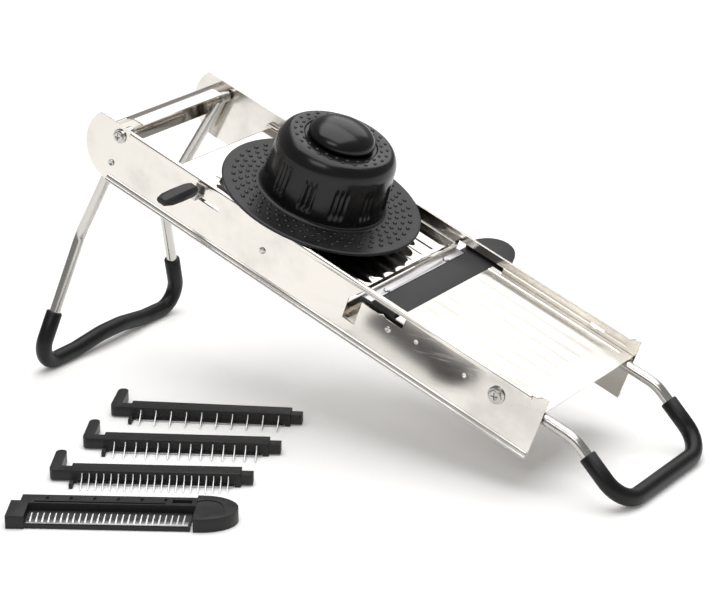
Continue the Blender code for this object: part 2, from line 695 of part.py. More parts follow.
def main_blade(steel):
    # Ground strip lying in the carrier's seat, its edge towards the ramp.
    low = CARRIER_TOP - BLADE_THICKNESS + GAP
    top = low + BLADE_THICKNESS
    outline = [(BLADE_START, low + 0.00012), (BLADE_START, low), (BLADE_START + BLADE_WIDTH, low),
               (BLADE_START + BLADE_WIDTH, top), (BLADE_START + 0.0032, top)]
    blade = prism("main_blade", outline, -HALF_INNER + 0.003, HALF_INNER - 0.004, "Y", steel)
    for place in BLADE_SCREWS:
        bore = rod("bore", (BLADE_SCREW_STATION, place, low - 0.005),
                   (BLADE_SCREW_STATION, place, top + 0.005), 0.0016, 12)
        combine(blade, [bore], "DIFFERENCE")
    return blade


def blade_screw(name, place, steel):
    # Low rivet holding the blade to its carrier, flush under the carrier.
    low = CARRIER_BOTTOM + 0.0003
    top = CARRIER_TOP + GAP
    profile = [(0.0, low), (0.0013, low), (0.0013, top + GAP), (0.0024, top + GAP), (0.0018, top + 0.0009),
               (0.0, top + 0.0009)]
    return turn_to(lathe(name, profile, 12, steel), (0, 0, 1), (BLADE_SCREW_STATION, place, 0.0))


# ---------------------------------------------------------------- legs

def pivot_eyes(loop, pivot):
    # Boss on each end of a wire loop, bored for its pivot bolt.
    for side in (-1, 1):
        low, high = side * WIRE_SIDE - PIVOT_EYE_RADIUS, side * WIRE_SIDE + PIVOT_EYE_RADIUS
        boss = rod("boss", (pivot[0], low, pivot[1]), (pivot[0], high, pivot[1]), PIVOT_EYE_RADIUS, 20)
        combine(loop, [boss], "UNION")
        bore = rod("bore", (pivot[0], low - 0.02, pivot[1]), (pivot[0], high + 0.02, pivot[1]),
                   PIVOT_PIN_RADIUS + GAP, 16)
        combine(loop, [bore], "DIFFERENCE")
    return loop


def loop_path(corners, radii, middle=None):
    # Mirrors a half path given from the far pivot to the middle.
    half = fillet_path(corners, radii)
    half = half[:-1]
    other = [Vector((point.x, -point.y, point.z)) for point in reversed(half)]
    return half + [Vector(middle)] + other


def tall_leg(steel, rubber):
    up = Vector((math.sin(-BODY_SLOPE), 0.0, math.cos(BODY_SLOPE)))
    spread = BODY_WIDTH / 2 + LEG_FOOT_SPREAD
    rest = body_depth(LEG_FOOT_STATION, SLEEVE_FLAT)
    arch = body_depth(LEG_FOOT_STATION, SLEEVE_FLAT + LEG_ARCH)
    corners = [
        (LEG_PIVOT[0], WIRE_SIDE, LEG_PIVOT[1]),
        (LEG_KNEE[0], WIRE_SIDE - LEG_KNEE_INSET, LEG_KNEE[1]),
        (LEG_FOOT_STATION, spread, rest - 0.0006),
        (LEG_FOOT_STATION, spread - 0.045, rest + 0.0002),
        (LEG_FOOT_STATION, 0.012, arch),
        (LEG_FOOT_STATION, 0.0, arch),
    ]
    path = loop_path(corners, (0.020, 0.016, 0.030, 0.060), (LEG_FOOT_STATION, 0.0, arch))
    frames = path_frames(path, up)
    loop = pivot_eyes(wire("tall_leg_wire", frames, steel), LEG_PIVOT)
    sleeve_top = body_depth(LEG_FOOT_STATION, LEG_SLEEVE_HEIGHT)
    return loop, sleeve("tall_leg_sleeve", clip_frames(frames, 2, sleeve_top, -1), rubber)


def clip_frames(frames, axis, limit, sign):
    # Keeps the frames past a limit, adding one just at it on each end.
    inside = [index for index, frame in enumerate(frames) if (frame[0][axis] - limit) * sign > 0.0]
    first, last = inside[0], inside[-1]

    def crossing(outer, inner):
        a, b = frames[outer][0], frames[inner][0]
        share = (limit - a[axis]) / (b[axis] - a[axis])
        return (a.lerp(b, share), (b - a).normalized() * (1 if inner > outer else -1), frames[inner][2])

    start = crossing(first - 1, first)
    end = crossing(last + 1, last)
    return [square_frame(start)] + frames[first:last + 1] + [square_frame(end)]


def square_frame(frame):
    centre, tangent, normal = frame
    return centre, tangent, (normal - tangent * normal.dot(tangent)).normalized()


def short_foot(steel, rubber):
    up = Vector((math.sin(-BODY_SLOPE), 0.0, math.cos(BODY_SLOPE)))
    station = BODY_LENGTH + FOOT_REACH
    bar = body_depth(station, SLEEVE_FLAT)
    corners = [
        (FOOT_PIVOT[0], WIRE_SIDE, FOOT_PIVOT[1]),
        (BODY_LENGTH + FOOT_STRAIGHT, WIRE_SIDE, FOOT_PIVOT[1]),
        (station, WIRE_SIDE, bar),
        (station, 0.0, bar),
    ]
    path = loop_path(corners, (0.030, 0.020), (station, 0.0, bar))
    frames = path_frames(path, up)
    loop = pivot_eyes(wire("short_foot_wire", frames, steel), FOOT_PIVOT)
    cover = sleeve("short_foot_sleeve", clip_frames(frames, 0, BODY_LENGTH + FOOT_SLEEVE_START, 1), rubber)
    return loop, cover


# ---------------------------------------------------------------- hand guard

def hand_guard(plastic):
    brim = BODY_WIDTH / 2 + BRIM_OVERHANG
    low = GAP
    top = low + BRIM_THICKNESS
    wall = CUP_WALL
    # Broad rounded shoulder from the wall up to the flat ring round the knob.
    shoulder = [(CUP_RING_RADIUS + (CUP_TOP_RADIUS - CUP_RING_RADIUS) * math.cos(angle) ** 1.25,
                 CUP_HEIGHT - CUP_SHOULDER + CUP_SHOULDER * math.sin(angle) ** 1.25)
                for angle in [math.pi / 2 * step / 6 for step in range(7)]]
    profile = [
        (brim - 0.0006, low), (brim, low + 0.0006), (brim, top - 0.0006), (brim - 0.0006, top),
        (CUP_BASE_RADIUS + 0.0015, top), (CUP_BASE_RADIUS, top + 0.0010),
        *shoulder, (KNOB_RADIUS + 0.003, CUP_HEIGHT), (KNOB_RADIUS + 0.002, CUP_HEIGHT - 0.001),
        (STEM_RADIUS + CLEARANCE, CUP_HEIGHT - 0.001), (STEM_RADIUS + CLEARANCE, CUP_HEIGHT - 0.001 - wall),
        (CUP_RING_RADIUS + 0.0004, CUP_HEIGHT - 0.001 - wall),
        (CUP_TOP_RADIUS - wall, CUP_HEIGHT - CUP_SHOULDER - 0.0015),
        (CUP_BASE_RADIUS - wall, top), (CUP_BASE_RADIUS - wall, low),
    ]
    guard = turn_to(lathe("hand_guard", profile, 64, plastic, ring=True), (0, 0, 1),
                    (GUARD_STATION, 0.0, 0.0))
    for side in (-1, 1):
        outer = HALF_INNER - CLEARANCE
        low_side, high_side = sorted((side * (outer - RUNNER_THICKNESS), side * outer))
        half = RUNNER_LENGTH / 2
        outline = [(GUARD_STATION - half, -RUNNER_DEPTH + 0.004),
                   (GUARD_STATION - half + 0.006, -RUNNER_DEPTH),
                   (GUARD_STATION + half - 0.006, -RUNNER_DEPTH), (GUARD_STATION + half,
                                                                   -RUNNER_DEPTH + 0.004)]
        reach = math.sqrt(brim ** 2 - outer ** 2) - 0.002
        outline += [(GUARD_STATION + min(half, reach), 0.0012), (GUARD_STATION - min(half, reach), 0.0012)]
        outline = [(min(max(x, GUARD_STATION - reach), GUARD_STATION + reach), z) for x, z in outline]
        combine(guard, [prism("runner", outline, low_side, high_side, "Y")], "UNION")
    return shade(guard)


def plunger_knob(plastic):
    low = CUP_HEIGHT + GAP
    steps = 8
    dome = [(KNOB_RADIUS * math.cos(math.pi / 2 * step / steps),
             low + 0.0022 + (KNOB_HEIGHT - 0.0022) * math.sin(math.pi / 2 * step / steps)) for step in range(steps)]
    profile = [(0.0, low), (KNOB_RADIUS - 0.0015, low)] + dome + [(0.0, low + KNOB_HEIGHT)]
    return turn_to(lathe("plunger_knob", profile, 40, plastic), (0, 0, 1), (GUARD_STATION, 0.0, 0.0))


def plunger_stem(plastic):
    low = GRIPPER_HEIGHT + GRIPPER_THICKNESS + GAP
    return rod("plunger_stem", (GUARD_STATION, 0.0, low), (GUARD_STATION, 0.0, CUP_HEIGHT), STEM_RADIUS, 20,
               plastic)


def gripper_disc(plastic):
    disc = lathe("gripper_disc", [(0.0, GRIPPER_HEIGHT), (GRIPPER_RADIUS, GRIPPER_HEIGHT),
                                  (GRIPPER_RADIUS, GRIPPER_HEIGHT + GRIPPER_THICKNESS),
                                  (0.0, GRIPPER_HEIGHT + GRIPPER_THICKNESS)], 40, plastic)
    turn_to(disc, (0, 0, 1), (GUARD_STATION, 0.0, 0.0))
    base = GRIPPER_HEIGHT + GRIPPER_THICKNESS / 2
    for index in range(PRONG_COUNT):
        angle = math.tau * index / PRONG_COUNT
        reach = GRIPPER_RADIUS * (0.78 if index % 2 else 0.45)
        spot = (GUARD_STATION + reach * math.cos(angle), reach * math.sin(angle), base)
        prong = lathe("prong", [(0.0, 0.0), (PRONG_RADIUS, 0.0), (PRONG_RADIUS, PRONG_LENGTH * 0.5),
                                (0.0, PRONG_LENGTH)], 8)
        combine(disc, [turn_to(prong, (0.0, 0.0, -1.0), spot)], "UNION")
    return disc


# ---------------------------------------------------------------- loose combs and holder

def settle(things, marker):
    for thing in things:
        thing.parent = marker


def comb_bar(name, plastic):
    # Square bar with a neck and a turned-back finger grip at one end and a locating stub at the other.
    bar = box(name, (0.0, 0.0, 0.0), (COMB_LENGTH, COMB_WIDTH, COMB_HEIGHT), plastic)
    grip = COMB_HANDLE
    rise = 0.0008
    neck_low = COMB_WIDTH * 0.25
    outline = [(0.002, neck_low), (0.002, neck_low + grip), (-COMB_NECK + grip, neck_low + grip)]
    tip = neck_low + COMB_HANDLE_LENGTH
    outline += arc_points((-COMB_NECK + grip / 2, tip - grip / 2), grip / 2, 0.0, math.pi, 6)
    outline += arc_points((-COMB_NECK + grip / 2, neck_low + grip / 2), grip / 2, math.pi, 1.5 * math.pi, 4)
    handle = prism("handle", outline, rise, rise + COMB_HANDLE, "Z")
    stub_low = COMB_WIDTH * 0.2
    stub = box("stub", (COMB_LENGTH - 0.002, stub_low, rise), (COMB_LENGTH + COMB_STUB,
                                                               COMB_WIDTH - stub_low, COMB_HEIGHT - rise * 2))
    foot_outline = [(0.0, 0.002), (0.0, -0.0085), (0.0025, -0.0085), (0.0025, 0.002)]
    foot = prism("foot", foot_outline, 0.0, COMB_HEIGHT * 0.36, "Z")
    for extra in (handle, stub, foot):
        combine(bar, [extra], "UNION")
    rebate = box("rebate", (0.004, -0.01, -0.01), (COMB_LENGTH - 0.004, 0.006, COMB_STRIP + 2 * GAP))
    return combine(bar, [rebate], "DIFFERENCE")


def comb_teeth(name, count, steel):
    # Thin strip under the bar carrying one fin for each cut.
    strip = box(name, (0.0046, -0.0016, GAP), (COMB_LENGTH - 0.0046, 0.0056, GAP + COMB_STRIP), steel)
    span = COMB_LENGTH - 0.016
    vertices, faces = [], []
    for index in range(count):
        place = 0.008 + span * index / (count - 1)
        thick = COMB_TOOTH_THICKNESS / 2
        fin = [(-0.0004, COMB_HEIGHT * 0.86), (-0.0004, GAP * 1.5), (-COMB_TOOTH_REACH, GAP * 1.5 + 0.0002)]
        start = len(vertices)
        for offset in (-thick, thick):
            vertices += [(place + offset, y, z) for y, z in fin]
        faces += [(start, start + 1, start + 2), (start + 3, start + 5, start + 4)]
        for side in range(3):
            after = (side + 1) % 3
            faces.append((start + side, start + 3 + side, start + 3 + after, start + after))
    return combine(strip, [add_object("fins", vertices, faces)], "UNION")


def comb_holder(plastic):
    # Open tray with a raised back rail, an end block and a half-oval grip.
    tray = box("comb_holder", (0.0, 0.0, 0.0), (HOLDER_LENGTH, HOLDER_WIDTH, HOLDER_FLOOR), plastic)
    rail = box("rail", (-0.005, HOLDER_WIDTH - HOLDER_RAIL, 0.0),
               (HOLDER_LENGTH + 0.004, HOLDER_WIDTH, HOLDER_HEIGHT))
    block = box("block", (-HOLDER_BLOCK, -0.001, 0.0), (0.001, HOLDER_WIDTH - HOLDER_RAIL * 0.8,
                                                        HOLDER_HEIGHT + 0.0005))
    half = (HOLDER_WIDTH + 0.003) / 2
    outline = [(HOLDER_LENGTH + 0.002, -0.001)]
    outline += [(HOLDER_LENGTH + 0.006 + 0.024 * math.sin(angle),
                 HOLDER_WIDTH / 2 + 0.0005 - half * math.cos(angle))
                for angle in [math.pi * step / 14 for step in range(15)]]
    outline += [(HOLDER_LENGTH + 0.002, HOLDER_WIDTH + 0.002)]
    grip = prism("grip", outline, 0.0, HOLDER_HEIGHT + 0.0008, "Z")
    for extra in (rail, block, grip):
        combine(tray, [extra], "UNION")
    window = box("window", (HOLDER_LENGTH - 0.014, HOLDER_WIDTH - 0.009, -0.01),
                 (HOLDER_LENGTH - 0.001, HOLDER_WIDTH - 0.004, 0.02))
    return combine(tray, [window], "DIFFERENCE")


def holder_teeth(steel):
    # Strip lying in the tray with a row of leaning teeth along its front.
    low = HOLDER_FLOOR + GAP
    strip = box("holder_teeth", (0.002, 0.0005, low), (HOLDER_LENGTH - 0.001, 0.0065, low + 0.0008), steel)
    vertices, faces = [], []
    span = HOLDER_LENGTH - 0.009
    for index in range(HOLDER_TOOTH_COUNT):
        place = 0.004 + span * index / (HOLDER_TOOTH_COUNT - 1)
        start = len(vertices)
        lean = 0.0012
        for x, y, z in ((0.0, 0.0012, 0.0003), (0.0011, 0.0012, 0.0003), (0.0011, 0.0022, 0.0003),
                        (0.0, 0.0022, 0.0003)):
            vertices.append((place + x, y, low + z))
        top = HOLDER_TOOTH_LENGTH * 0.62
        vertices += [(place + lean, 0.0012 + 0.0050, low + top),
                     (place + lean + 0.0006, 0.0012 + 0.0050, low + top),
                     (place + lean + 0.0006, 0.0058 + 0.0012, low + top - 0.0004), (place + lean,
                                                                                    0.0058 + 0.0012, low + top - 0.0004)]
        faces += [(start, start + 3, start + 2, start + 1), (start + 4, start + 5, start + 6, start + 7)]
        for side in range(4):
            after = (side + 1) % 4
            faces.append((start + side, start + after, start + 4 + after, start + 4 + side))
    return combine(strip, [add_object("teeth", vertices, faces)], "UNION")


def build_body(finishes, frame):
    steel, satin = finishes["polished_steel"], finishes["satin_steel"]
    plastic, rubber = finishes["charcoal_plastic"], finishes["black_rubber"]

    fixed = [side_rail("side_rail_near", -1, steel), side_rail("side_rail_far", 1, steel), head_bridge(steel),
             landing_plate(steel), comb_channel(steel)]
    fixed += [hinge_bracket("ramp_bracket_near", -1, steel), hinge_bracket("ramp_bracket_far", 1, steel)]
    rod_half = HALF_INNER - 2 * GAP
    fixed.append(rod("ramp_hinge_rod", (RAMP_HINGE, -rod_half, HINGE_DEPTH),
                     (RAMP_HINGE, rod_half, HINGE_DEPTH),
                     HINGE_ROD_RADIUS, 12, satin))
    brace_start = MID_BRACE - MID_BRACE_WIDTH / 2
    brace = cross_sheet("mid_brace", brace_start, brace_start + MID_BRACE_WIDTH, MID_BRACE_RIVET - 0.005,
                        SEAT_SHEET, 0.0075, True, steel)
    seat = cross_sheet("carrier_seat", CARRIER_START + 0.003, CARRIER_START + CARRIER_WIDTH + 0.004,
                       SEAT_BOTTOM,
                       SEAT_SHEET, 0.0062, False, steel)
    lever_bar = cross_sheet("lever_crossbar", LEVER_STATION - 0.007, LEVER_STATION + 0.007,
                            -LEVER_DEPTH - LEVER_ARM_SHEET - 0.0022, 0.0012, 0.005, False, steel)
    bore = rod("bore", (LEVER_STATION, 0.0, -0.03), (LEVER_STATION, 0.0, -0.01), LEVER_PIN_RADIUS + GAP, 16)
    combine(lever_bar, [bore], "DIFFERENCE")
    sides = (("near", -1), ("far", 1))
    for label, side in sides:
        for sheet, (station, depth) in ((brace, (MID_BRACE, MID_BRACE_RIVET)), (seat, SEAT_RIVET)):
            low, high = sorted((side * 0.03, side * 0.09))
            hole = rod("hole", (station, low, depth), (station, high, depth), PIVOT_PIN_RADIUS + GAP, 16)
            combine(sheet, [hole], "DIFFERENCE")
        inside = HALF_INNER - 2 * GAP - 0.0022
        fixed.append(through_rivet("brace_rivet_" + label, side, MID_BRACE, MID_BRACE_RIVET, inside,
                                   RIVET_RADIUS, 0.0009, satin))
        fixed.append(through_rivet("seat_rivet_" + label, side, *SEAT_RIVET, inside, RIVET_RADIUS, 0.0009,
                                   satin))
        fixed.append(through_rivet("leg_detent_" + label, side, *DETENT, HALF_INNER, RIVET_RADIUS, 0.0007,
                                   satin))
    fixed += [brace, seat, lever_bar]
    pin_profile = [(0.0, -0.0195), (LEVER_PIN_RADIUS, -0.0195), (LEVER_PIN_RADIUS, -LEVER_DEPTH + GAP),
                   (0.0040, -LEVER_DEPTH + GAP), (0.0034, -LEVER_DEPTH + 0.0014), (0.0,
                                                                                   -LEVER_DEPTH + 0.0014)]
    fixed.append(turn_to(lathe("lever_pivot_pin", pin_profile, 16, satin), (0, 0, 1),
                         (LEVER_STATION, 0.0, 0.0)))
    leg_wire, leg_sleeve = tall_leg(steel, rubber)
    foot_wire, foot_sleeve = short_foot(steel, rubber)
    for label, side in sides:
        inside = WIRE_SIDE - PIVOT_EYE_RADIUS - 0.0008
        fixed.append(through_rivet("tall_leg_bolt_" + label, side, *LEG_PIVOT, inside, 0.0052,
                                   BOLT_HEAD_HEIGHT, satin))
        fixed.append(through_rivet("short_foot_bolt_" + label, side, *FOOT_PIVOT, inside, BOLT_HEAD_RADIUS,
                                   BOLT_HEAD_HEIGHT, satin))
    for thing in fixed:
        thing.parent = frame

    hang([feed_ramp(steel), ramp_follower(satin)], pivot_at("ramp_axis", (RAMP_HINGE, 0.0, HINGE_DEPTH),
                                                            frame))
    hang([lever_arm(satin), lever_grip(plastic)], pivot_at("lever_axis", (LEVER_STATION, 0.0, -LEVER_DEPTH),
                                                           frame))
    hang([leg_wire, leg_sleeve], pivot_at("tall_leg_axis", (LEG_PIVOT[0], 0.0, LEG_PIVOT[1]), frame))
    hang([foot_wire, foot_sleeve], pivot_at("short_foot_axis", (FOOT_PIVOT[0], 0.0, FOOT_PIVOT[1]), frame))
    carrier = [blade_carrier(plastic), main_blade(satin)]
    for label, place in zip(("near", "far"), BLADE_SCREWS):
        carrier.append(blade_screw("blade_rivet_" + label, place, satin))
    hang(carrier, pivot_at("carrier_slide", (CARRIER_START, 0.0, CARRIER_BOTTOM), frame))
    hang([hand_guard(plastic)], pivot_at("guard_slide", (GUARD_STATION, 0.0, 0.0), frame))
    plunger = [plunger_knob(plastic), plunger_stem(plastic), gripper_disc(plastic)]
    hang(plunger, pivot_at("plunger_slide", (GUARD_STATION, 0.0, CUP_HEIGHT), frame))


def build_loose(finishes, frame):
    plastic, satin = finishes["charcoal_plastic"], finishes["satin_steel"]
    for name, count, place, angle in COMBS:
        marker = pivot_at(name + "_comb_place", (*place, 0.0), frame)
        marker.rotation_euler.z = math.radians(angle)
        settle([comb_bar(name + "_comb_bar", plastic), comb_teeth(name + "_comb_teeth", count, satin)],
               marker)
    marker = pivot_at("holder_place", (*HOLDER_ORIGIN, 0.0), frame)
    marker.rotation_euler.z = math.radians(HOLDER_ANGLE)
    settle([comb_holder(plastic), holder_teeth(satin)], marker)


def centre_on_floor(stand):
    # Puts the middle of everything over the origin and its lowest point on z = 0.
    bpy.context.view_layer.update()
    corners = [thing.matrix_world @ vertex.co for thing in bpy.context.scene.objects if thing.type == "MESH"
               for vertex in thing.data.vertices]
    low = [min(corner[axis] for corner in corners) for axis in range(3)]
    high = [max(corner[axis] for corner in corners) for axis in range(3)]
    stand.location = (-(low[0] + high[0]) / 2, -(low[1] + high[1]) / 2, -low[2])


clear_scene()
finish_set = {name: make_finish(name) for name in FINISHES}
stand = bpy.data.objects.new("stand", None)
bpy.context.scene.collection.objects.link(stand)
body_frame = pivot_at("body_frame", (0.0, 0.0, 0.0), stand)
body_frame.rotation_euler.y = BODY_SLOPE
low_end = BODY_LENGTH * math.cos(BODY_SLOPE)
body_frame.location = (-low_end / 2, 0.0, LOW_END_HEIGHT + BODY_LENGTH * math.sin(BODY_SLOPE))
build_body(finish_set, body_frame)
build_loose(finish_set, stand)
centre_on_floor(stand)
bpy.context.view_layer.update()
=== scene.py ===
import json
import math

import bmesh
import bpy
from mathutils import Matrix, Vector


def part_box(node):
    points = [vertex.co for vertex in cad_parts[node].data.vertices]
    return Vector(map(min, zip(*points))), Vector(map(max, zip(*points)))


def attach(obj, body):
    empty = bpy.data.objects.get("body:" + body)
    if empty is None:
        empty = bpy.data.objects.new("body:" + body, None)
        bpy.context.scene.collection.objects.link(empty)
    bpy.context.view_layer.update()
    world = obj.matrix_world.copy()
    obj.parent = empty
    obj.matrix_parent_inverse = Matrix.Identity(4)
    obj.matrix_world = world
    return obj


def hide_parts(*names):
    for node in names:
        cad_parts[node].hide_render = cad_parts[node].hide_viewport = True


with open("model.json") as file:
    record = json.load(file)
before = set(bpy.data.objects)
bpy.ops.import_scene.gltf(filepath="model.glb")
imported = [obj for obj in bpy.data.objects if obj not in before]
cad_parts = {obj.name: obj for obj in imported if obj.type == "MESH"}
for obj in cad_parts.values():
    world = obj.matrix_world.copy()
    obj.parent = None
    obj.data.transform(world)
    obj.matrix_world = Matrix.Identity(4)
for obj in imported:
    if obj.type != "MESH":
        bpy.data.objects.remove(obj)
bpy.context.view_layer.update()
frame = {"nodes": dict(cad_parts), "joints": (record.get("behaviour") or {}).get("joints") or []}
joints = {joint["name"]: joint for joint in frame["joints"]}
print("frame loaded:", len(frame["nodes"]), "nodes")

# The slicer's own frame: along the body, across it, and square to its plates.
pivots = {"tallLeg": (0.0288, -0.0080), "shortFoot": (0.3645, -0.0151), "ramp": 0.075}
alongBody = Vector(joints["guard_slide"]["axis"]).normalized()
squareUp = Vector(joints["plunger_lift"]["axis"]).normalized()
acrossBody = squareUp.cross(alongBody)
legSpot = Vector(joints["tall_leg_fold"]["pos_m"])
bodyOrigin = legSpot - alongBody * pivots["tallLeg"][0] - squareUp * pivots["tallLeg"][1]
bodyFrame = Matrix((alongBody, acrossBody, squareUp)).transposed().to_4x4()
bodyFrame.translation = bodyOrigin
slopeAngle = math.asin(-alongBody.z)
halfInner = (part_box("side_rail_far")[0].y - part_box("side_rail_near")[1].y) / 2


def heightToDepth(station, height):  # depth square to the plates of a point at this height over the floor
    top = (bodyFrame @ Vector((station, 0.0, 0.0))).z
    return (height - top) / math.cos(slopeAngle)


# ---- mesh making

def meshPiece(name, vertices, faces, place=None):
    mesh = bpy.data.meshes.new(name)
    mesh.from_pydata([tuple(point) for point in vertices], [], faces)
    piece = bpy.data.objects.new(name, mesh)
    bpy.context.scene.collection.objects.link(piece)
    tidyMesh(piece)
    if place:
        mesh.transform(place)
    return piece


def tidyMesh(piece, merge=1e-6):
    work = bmesh.new()
    work.from_mesh(piece.data)
    bmesh.ops.remove_doubles(work, verts=work.verts, dist=merge)
    bmesh.ops.recalc_face_normals(work, faces=work.faces)
    work.to_mesh(piece.data)
    work.free()


def smoothBy(piece, degrees=32.0):
    piece.data.shade_smooth()
    piece.data.set_sharp_from_angle(angle=math.radians(degrees))
    return piece


def loftRings(name, rings, closed=False):
    count = len(rings[0])
    vertices = [point for ring in rings for point in ring]
    spans = len(rings) if closed else len(rings) - 1
    faces = []
    for index in range(spans):
        here, there = index * count, (index + 1) % len(rings) * count
        for side in range(count):
            after = (side + 1) % count
            faces.append((here + side, here + after, there + after, there + side))
    if not closed:
        faces.append(tuple(range(count)))
        faces.append(tuple(range(len(vertices) - count, len(vertices))))
    return meshPiece(name, vertices, faces)


def slab(name, outline, low, high, axis="Z"):  # a flat outline pushed along one axis
    def point(pair, value):
        values = list(pair)
        values.insert("XYZ".index(axis), value)
        return values
    return loftRings(name, [[point(pair, low) for pair in outline], [point(pair, high) for pair in outline]])


def blockOf(name, low, high):
    outline = [(low[0], low[1]), (high[0], low[1]), (high[0], high[1]), (low[0], high[1])]
    return slab(name, outline, low[2], high[2])


def arcLine(centre, radius, start, end, steps):
    turns = [start + (end - start) * step / steps for step in range(steps + 1)]
    return [(centre[0] + radius * math.cos(turn), centre[1] + radius * math.sin(turn)) for turn in turns]


def turned(name, profile, sides, ringed=False, shift=None):
    # Spins (radius, height) pairs; shift may move a point by its angle and height.
    vertices, rows = [], []
    for radius, height in profile:
        if radius == 0.0:
            rows.append([len(vertices)] * sides)
            vertices.append((0.0, 0.0, height))
            continue
        rows.append(range(len(vertices), len(vertices) + sides))
        for side in range(sides):
            turn = math.tau * side / sides
            reach = radius + (shift(turn, radius, height) if shift else 0.0)
            vertices.append((reach * math.cos(turn), reach * math.sin(turn), height))
    pairs = list(zip(rows, rows[1:])) + ([(rows[-1], rows[0])] if ringed else [])
    faces = []
    for lower, upper in pairs:
        for side in range(sides):
            after = (side + 1) % sides
            faces.append(tuple(dict.fromkeys((lower[side], lower[after], upper[after], upper[side]))))
    return meshPiece(name, vertices, faces)


def pointTo(piece, axis, place):
    turn = Vector((0.0, 0.0, 1.0)).rotation_difference(Vector(axis)).to_matrix().to_4x4()
    piece.data.transform(Matrix.Translation(Vector(place)) @ turn)
    return piece


def settled(piece):  # swaps a piece's mesh for what its modifiers make of it
    bpy.context.view_layer.update()
    shaped = piece.evaluated_get(bpy.context.evaluated_depsgraph_get())
    mesh = bpy.data.meshes.new_from_object(shaped)
    piece.modifiers.clear()
    piece.data = mesh
    return piece


def cutWith(piece, tools, operation="DIFFERENCE"):
    for tool in tools:
        change = piece.modifiers.new("shape", "BOOLEAN")
        change.operation = operation
        change.object = tool
    settled(piece)
    for tool in tools:
        bpy.data.objects.remove(tool, do_unlink=True)
    return piece


def roundEdges(piece, width, steps=2, degrees=28.0):
    work = bmesh.new()
    work.from_mesh(piece.data)
    bmesh.ops.remove_doubles(work, verts=work.verts, dist=2e-6)
    bmesh.ops.dissolve_limit(work, angle_limit=math.radians(0.6), verts=work.verts, edges=work.edges)
    sharp = [edge for edge in work.edges if len(edge.link_faces) == 2
             and edge.calc_face_angle(0.0) > math.radians(degrees)]
    bmesh.ops.bevel(work, geom=sharp, offset=width, segments=steps, profile=0.5, affect="EDGES",
                    clamp_overlap=True)
    bmesh.ops.recalc_face_normals(work, faces=work.faces)
    work.to_mesh(piece.data)
    work.free()
    return smoothBy(piece, 40.0)


def copyOfNode(node, name):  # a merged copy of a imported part, already in place
    piece = bpy.data.objects.new(name, frame["nodes"][node].data.copy())
    piece.data.materials.clear()
    bpy.context.scene.collection.objects.link(piece)
    tidyMesh(piece, 2e-6)
    return piece


def joined(name, parts):
    # Puts parts together as one mesh, each keeping its own materials and smoothing.
    target = parts[0]
    with bpy.context.temp_override(active_object=target, object=target, selected_editable_objects=parts,
                                   selected_objects=parts):
        bpy.ops.object.join()
    target.name = name
    return target


def paint(piece, material):
    piece.data.materials.clear()
    piece.data.materials.append(material)
    return piece


def inBody(piece):
    piece.data.transform(bodyFrame)
    return piece


def fit(piece, body, slotName, *nodes):
    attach(piece, body)
    if nodes:
        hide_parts(*nodes)
    return piece


# ---- node trees

def addNode(tree, kind, inputs=None, **settings):
    made = tree.nodes.new(kind)
    for key, value in settings.items():
        setattr(made, key, value)
    for key, value in (inputs or {}).items():
        if isinstance(value, bpy.types.NodeSocket):
            tree.links.new(value, made.inputs[key])
        else:
            made.inputs[key].default_value = value
    return made


def mathNode(tree, operation, *values):
    return addNode(tree, "ShaderNodeMath", dict(enumerate(values)), operation=operation).outputs[0]


def newTree(name, kind, inputs, outputs):
    tree = bpy.data.node_groups.new(name, kind)
    for label, socketType in outputs:
        tree.interface.new_socket(label, in_out="OUTPUT", socket_type=socketType)
    for label, socketType, value in inputs:
        socket = tree.interface.new_socket(label, in_out="INPUT", socket_type=socketType)
        if value is not None:
            socket.default_value = value
    return tree, tree.nodes.new("NodeGroupInput"), tree.nodes.new("NodeGroupOutput")


def growMesh(name, tree, values):
    holder = bpy.data.objects.new(name, bpy.data.meshes.new(name))
    bpy.context.scene.collection.objects.link(holder)
    grower = holder.modifiers.new("grow", "NODES")
    grower.node_group = tree
    for item in tree.interface.items_tree:
        if item.in_out == "INPUT" and item.name in values:
            grower[item.identifier] = values[item.name]
    return settled(holder)


geometryIn = ("Geometry", "NodeSocketGeometry", None)
geometryOut = [("Geometry", "NodeSocketGeometry")]


def closeTree(tree, groupIn, groupOut, instances):
    real = addNode(tree, "GeometryNodeRealizeInstances", {"Geometry": instances})
    coloured = addNode(tree, "GeometryNodeSetMaterial",
                       {"Geometry": real.outputs[0], "Material": groupIn.outputs["Finish"]})
    tree.links.new(coloured.outputs[0], groupOut.inputs[0])
    return tree


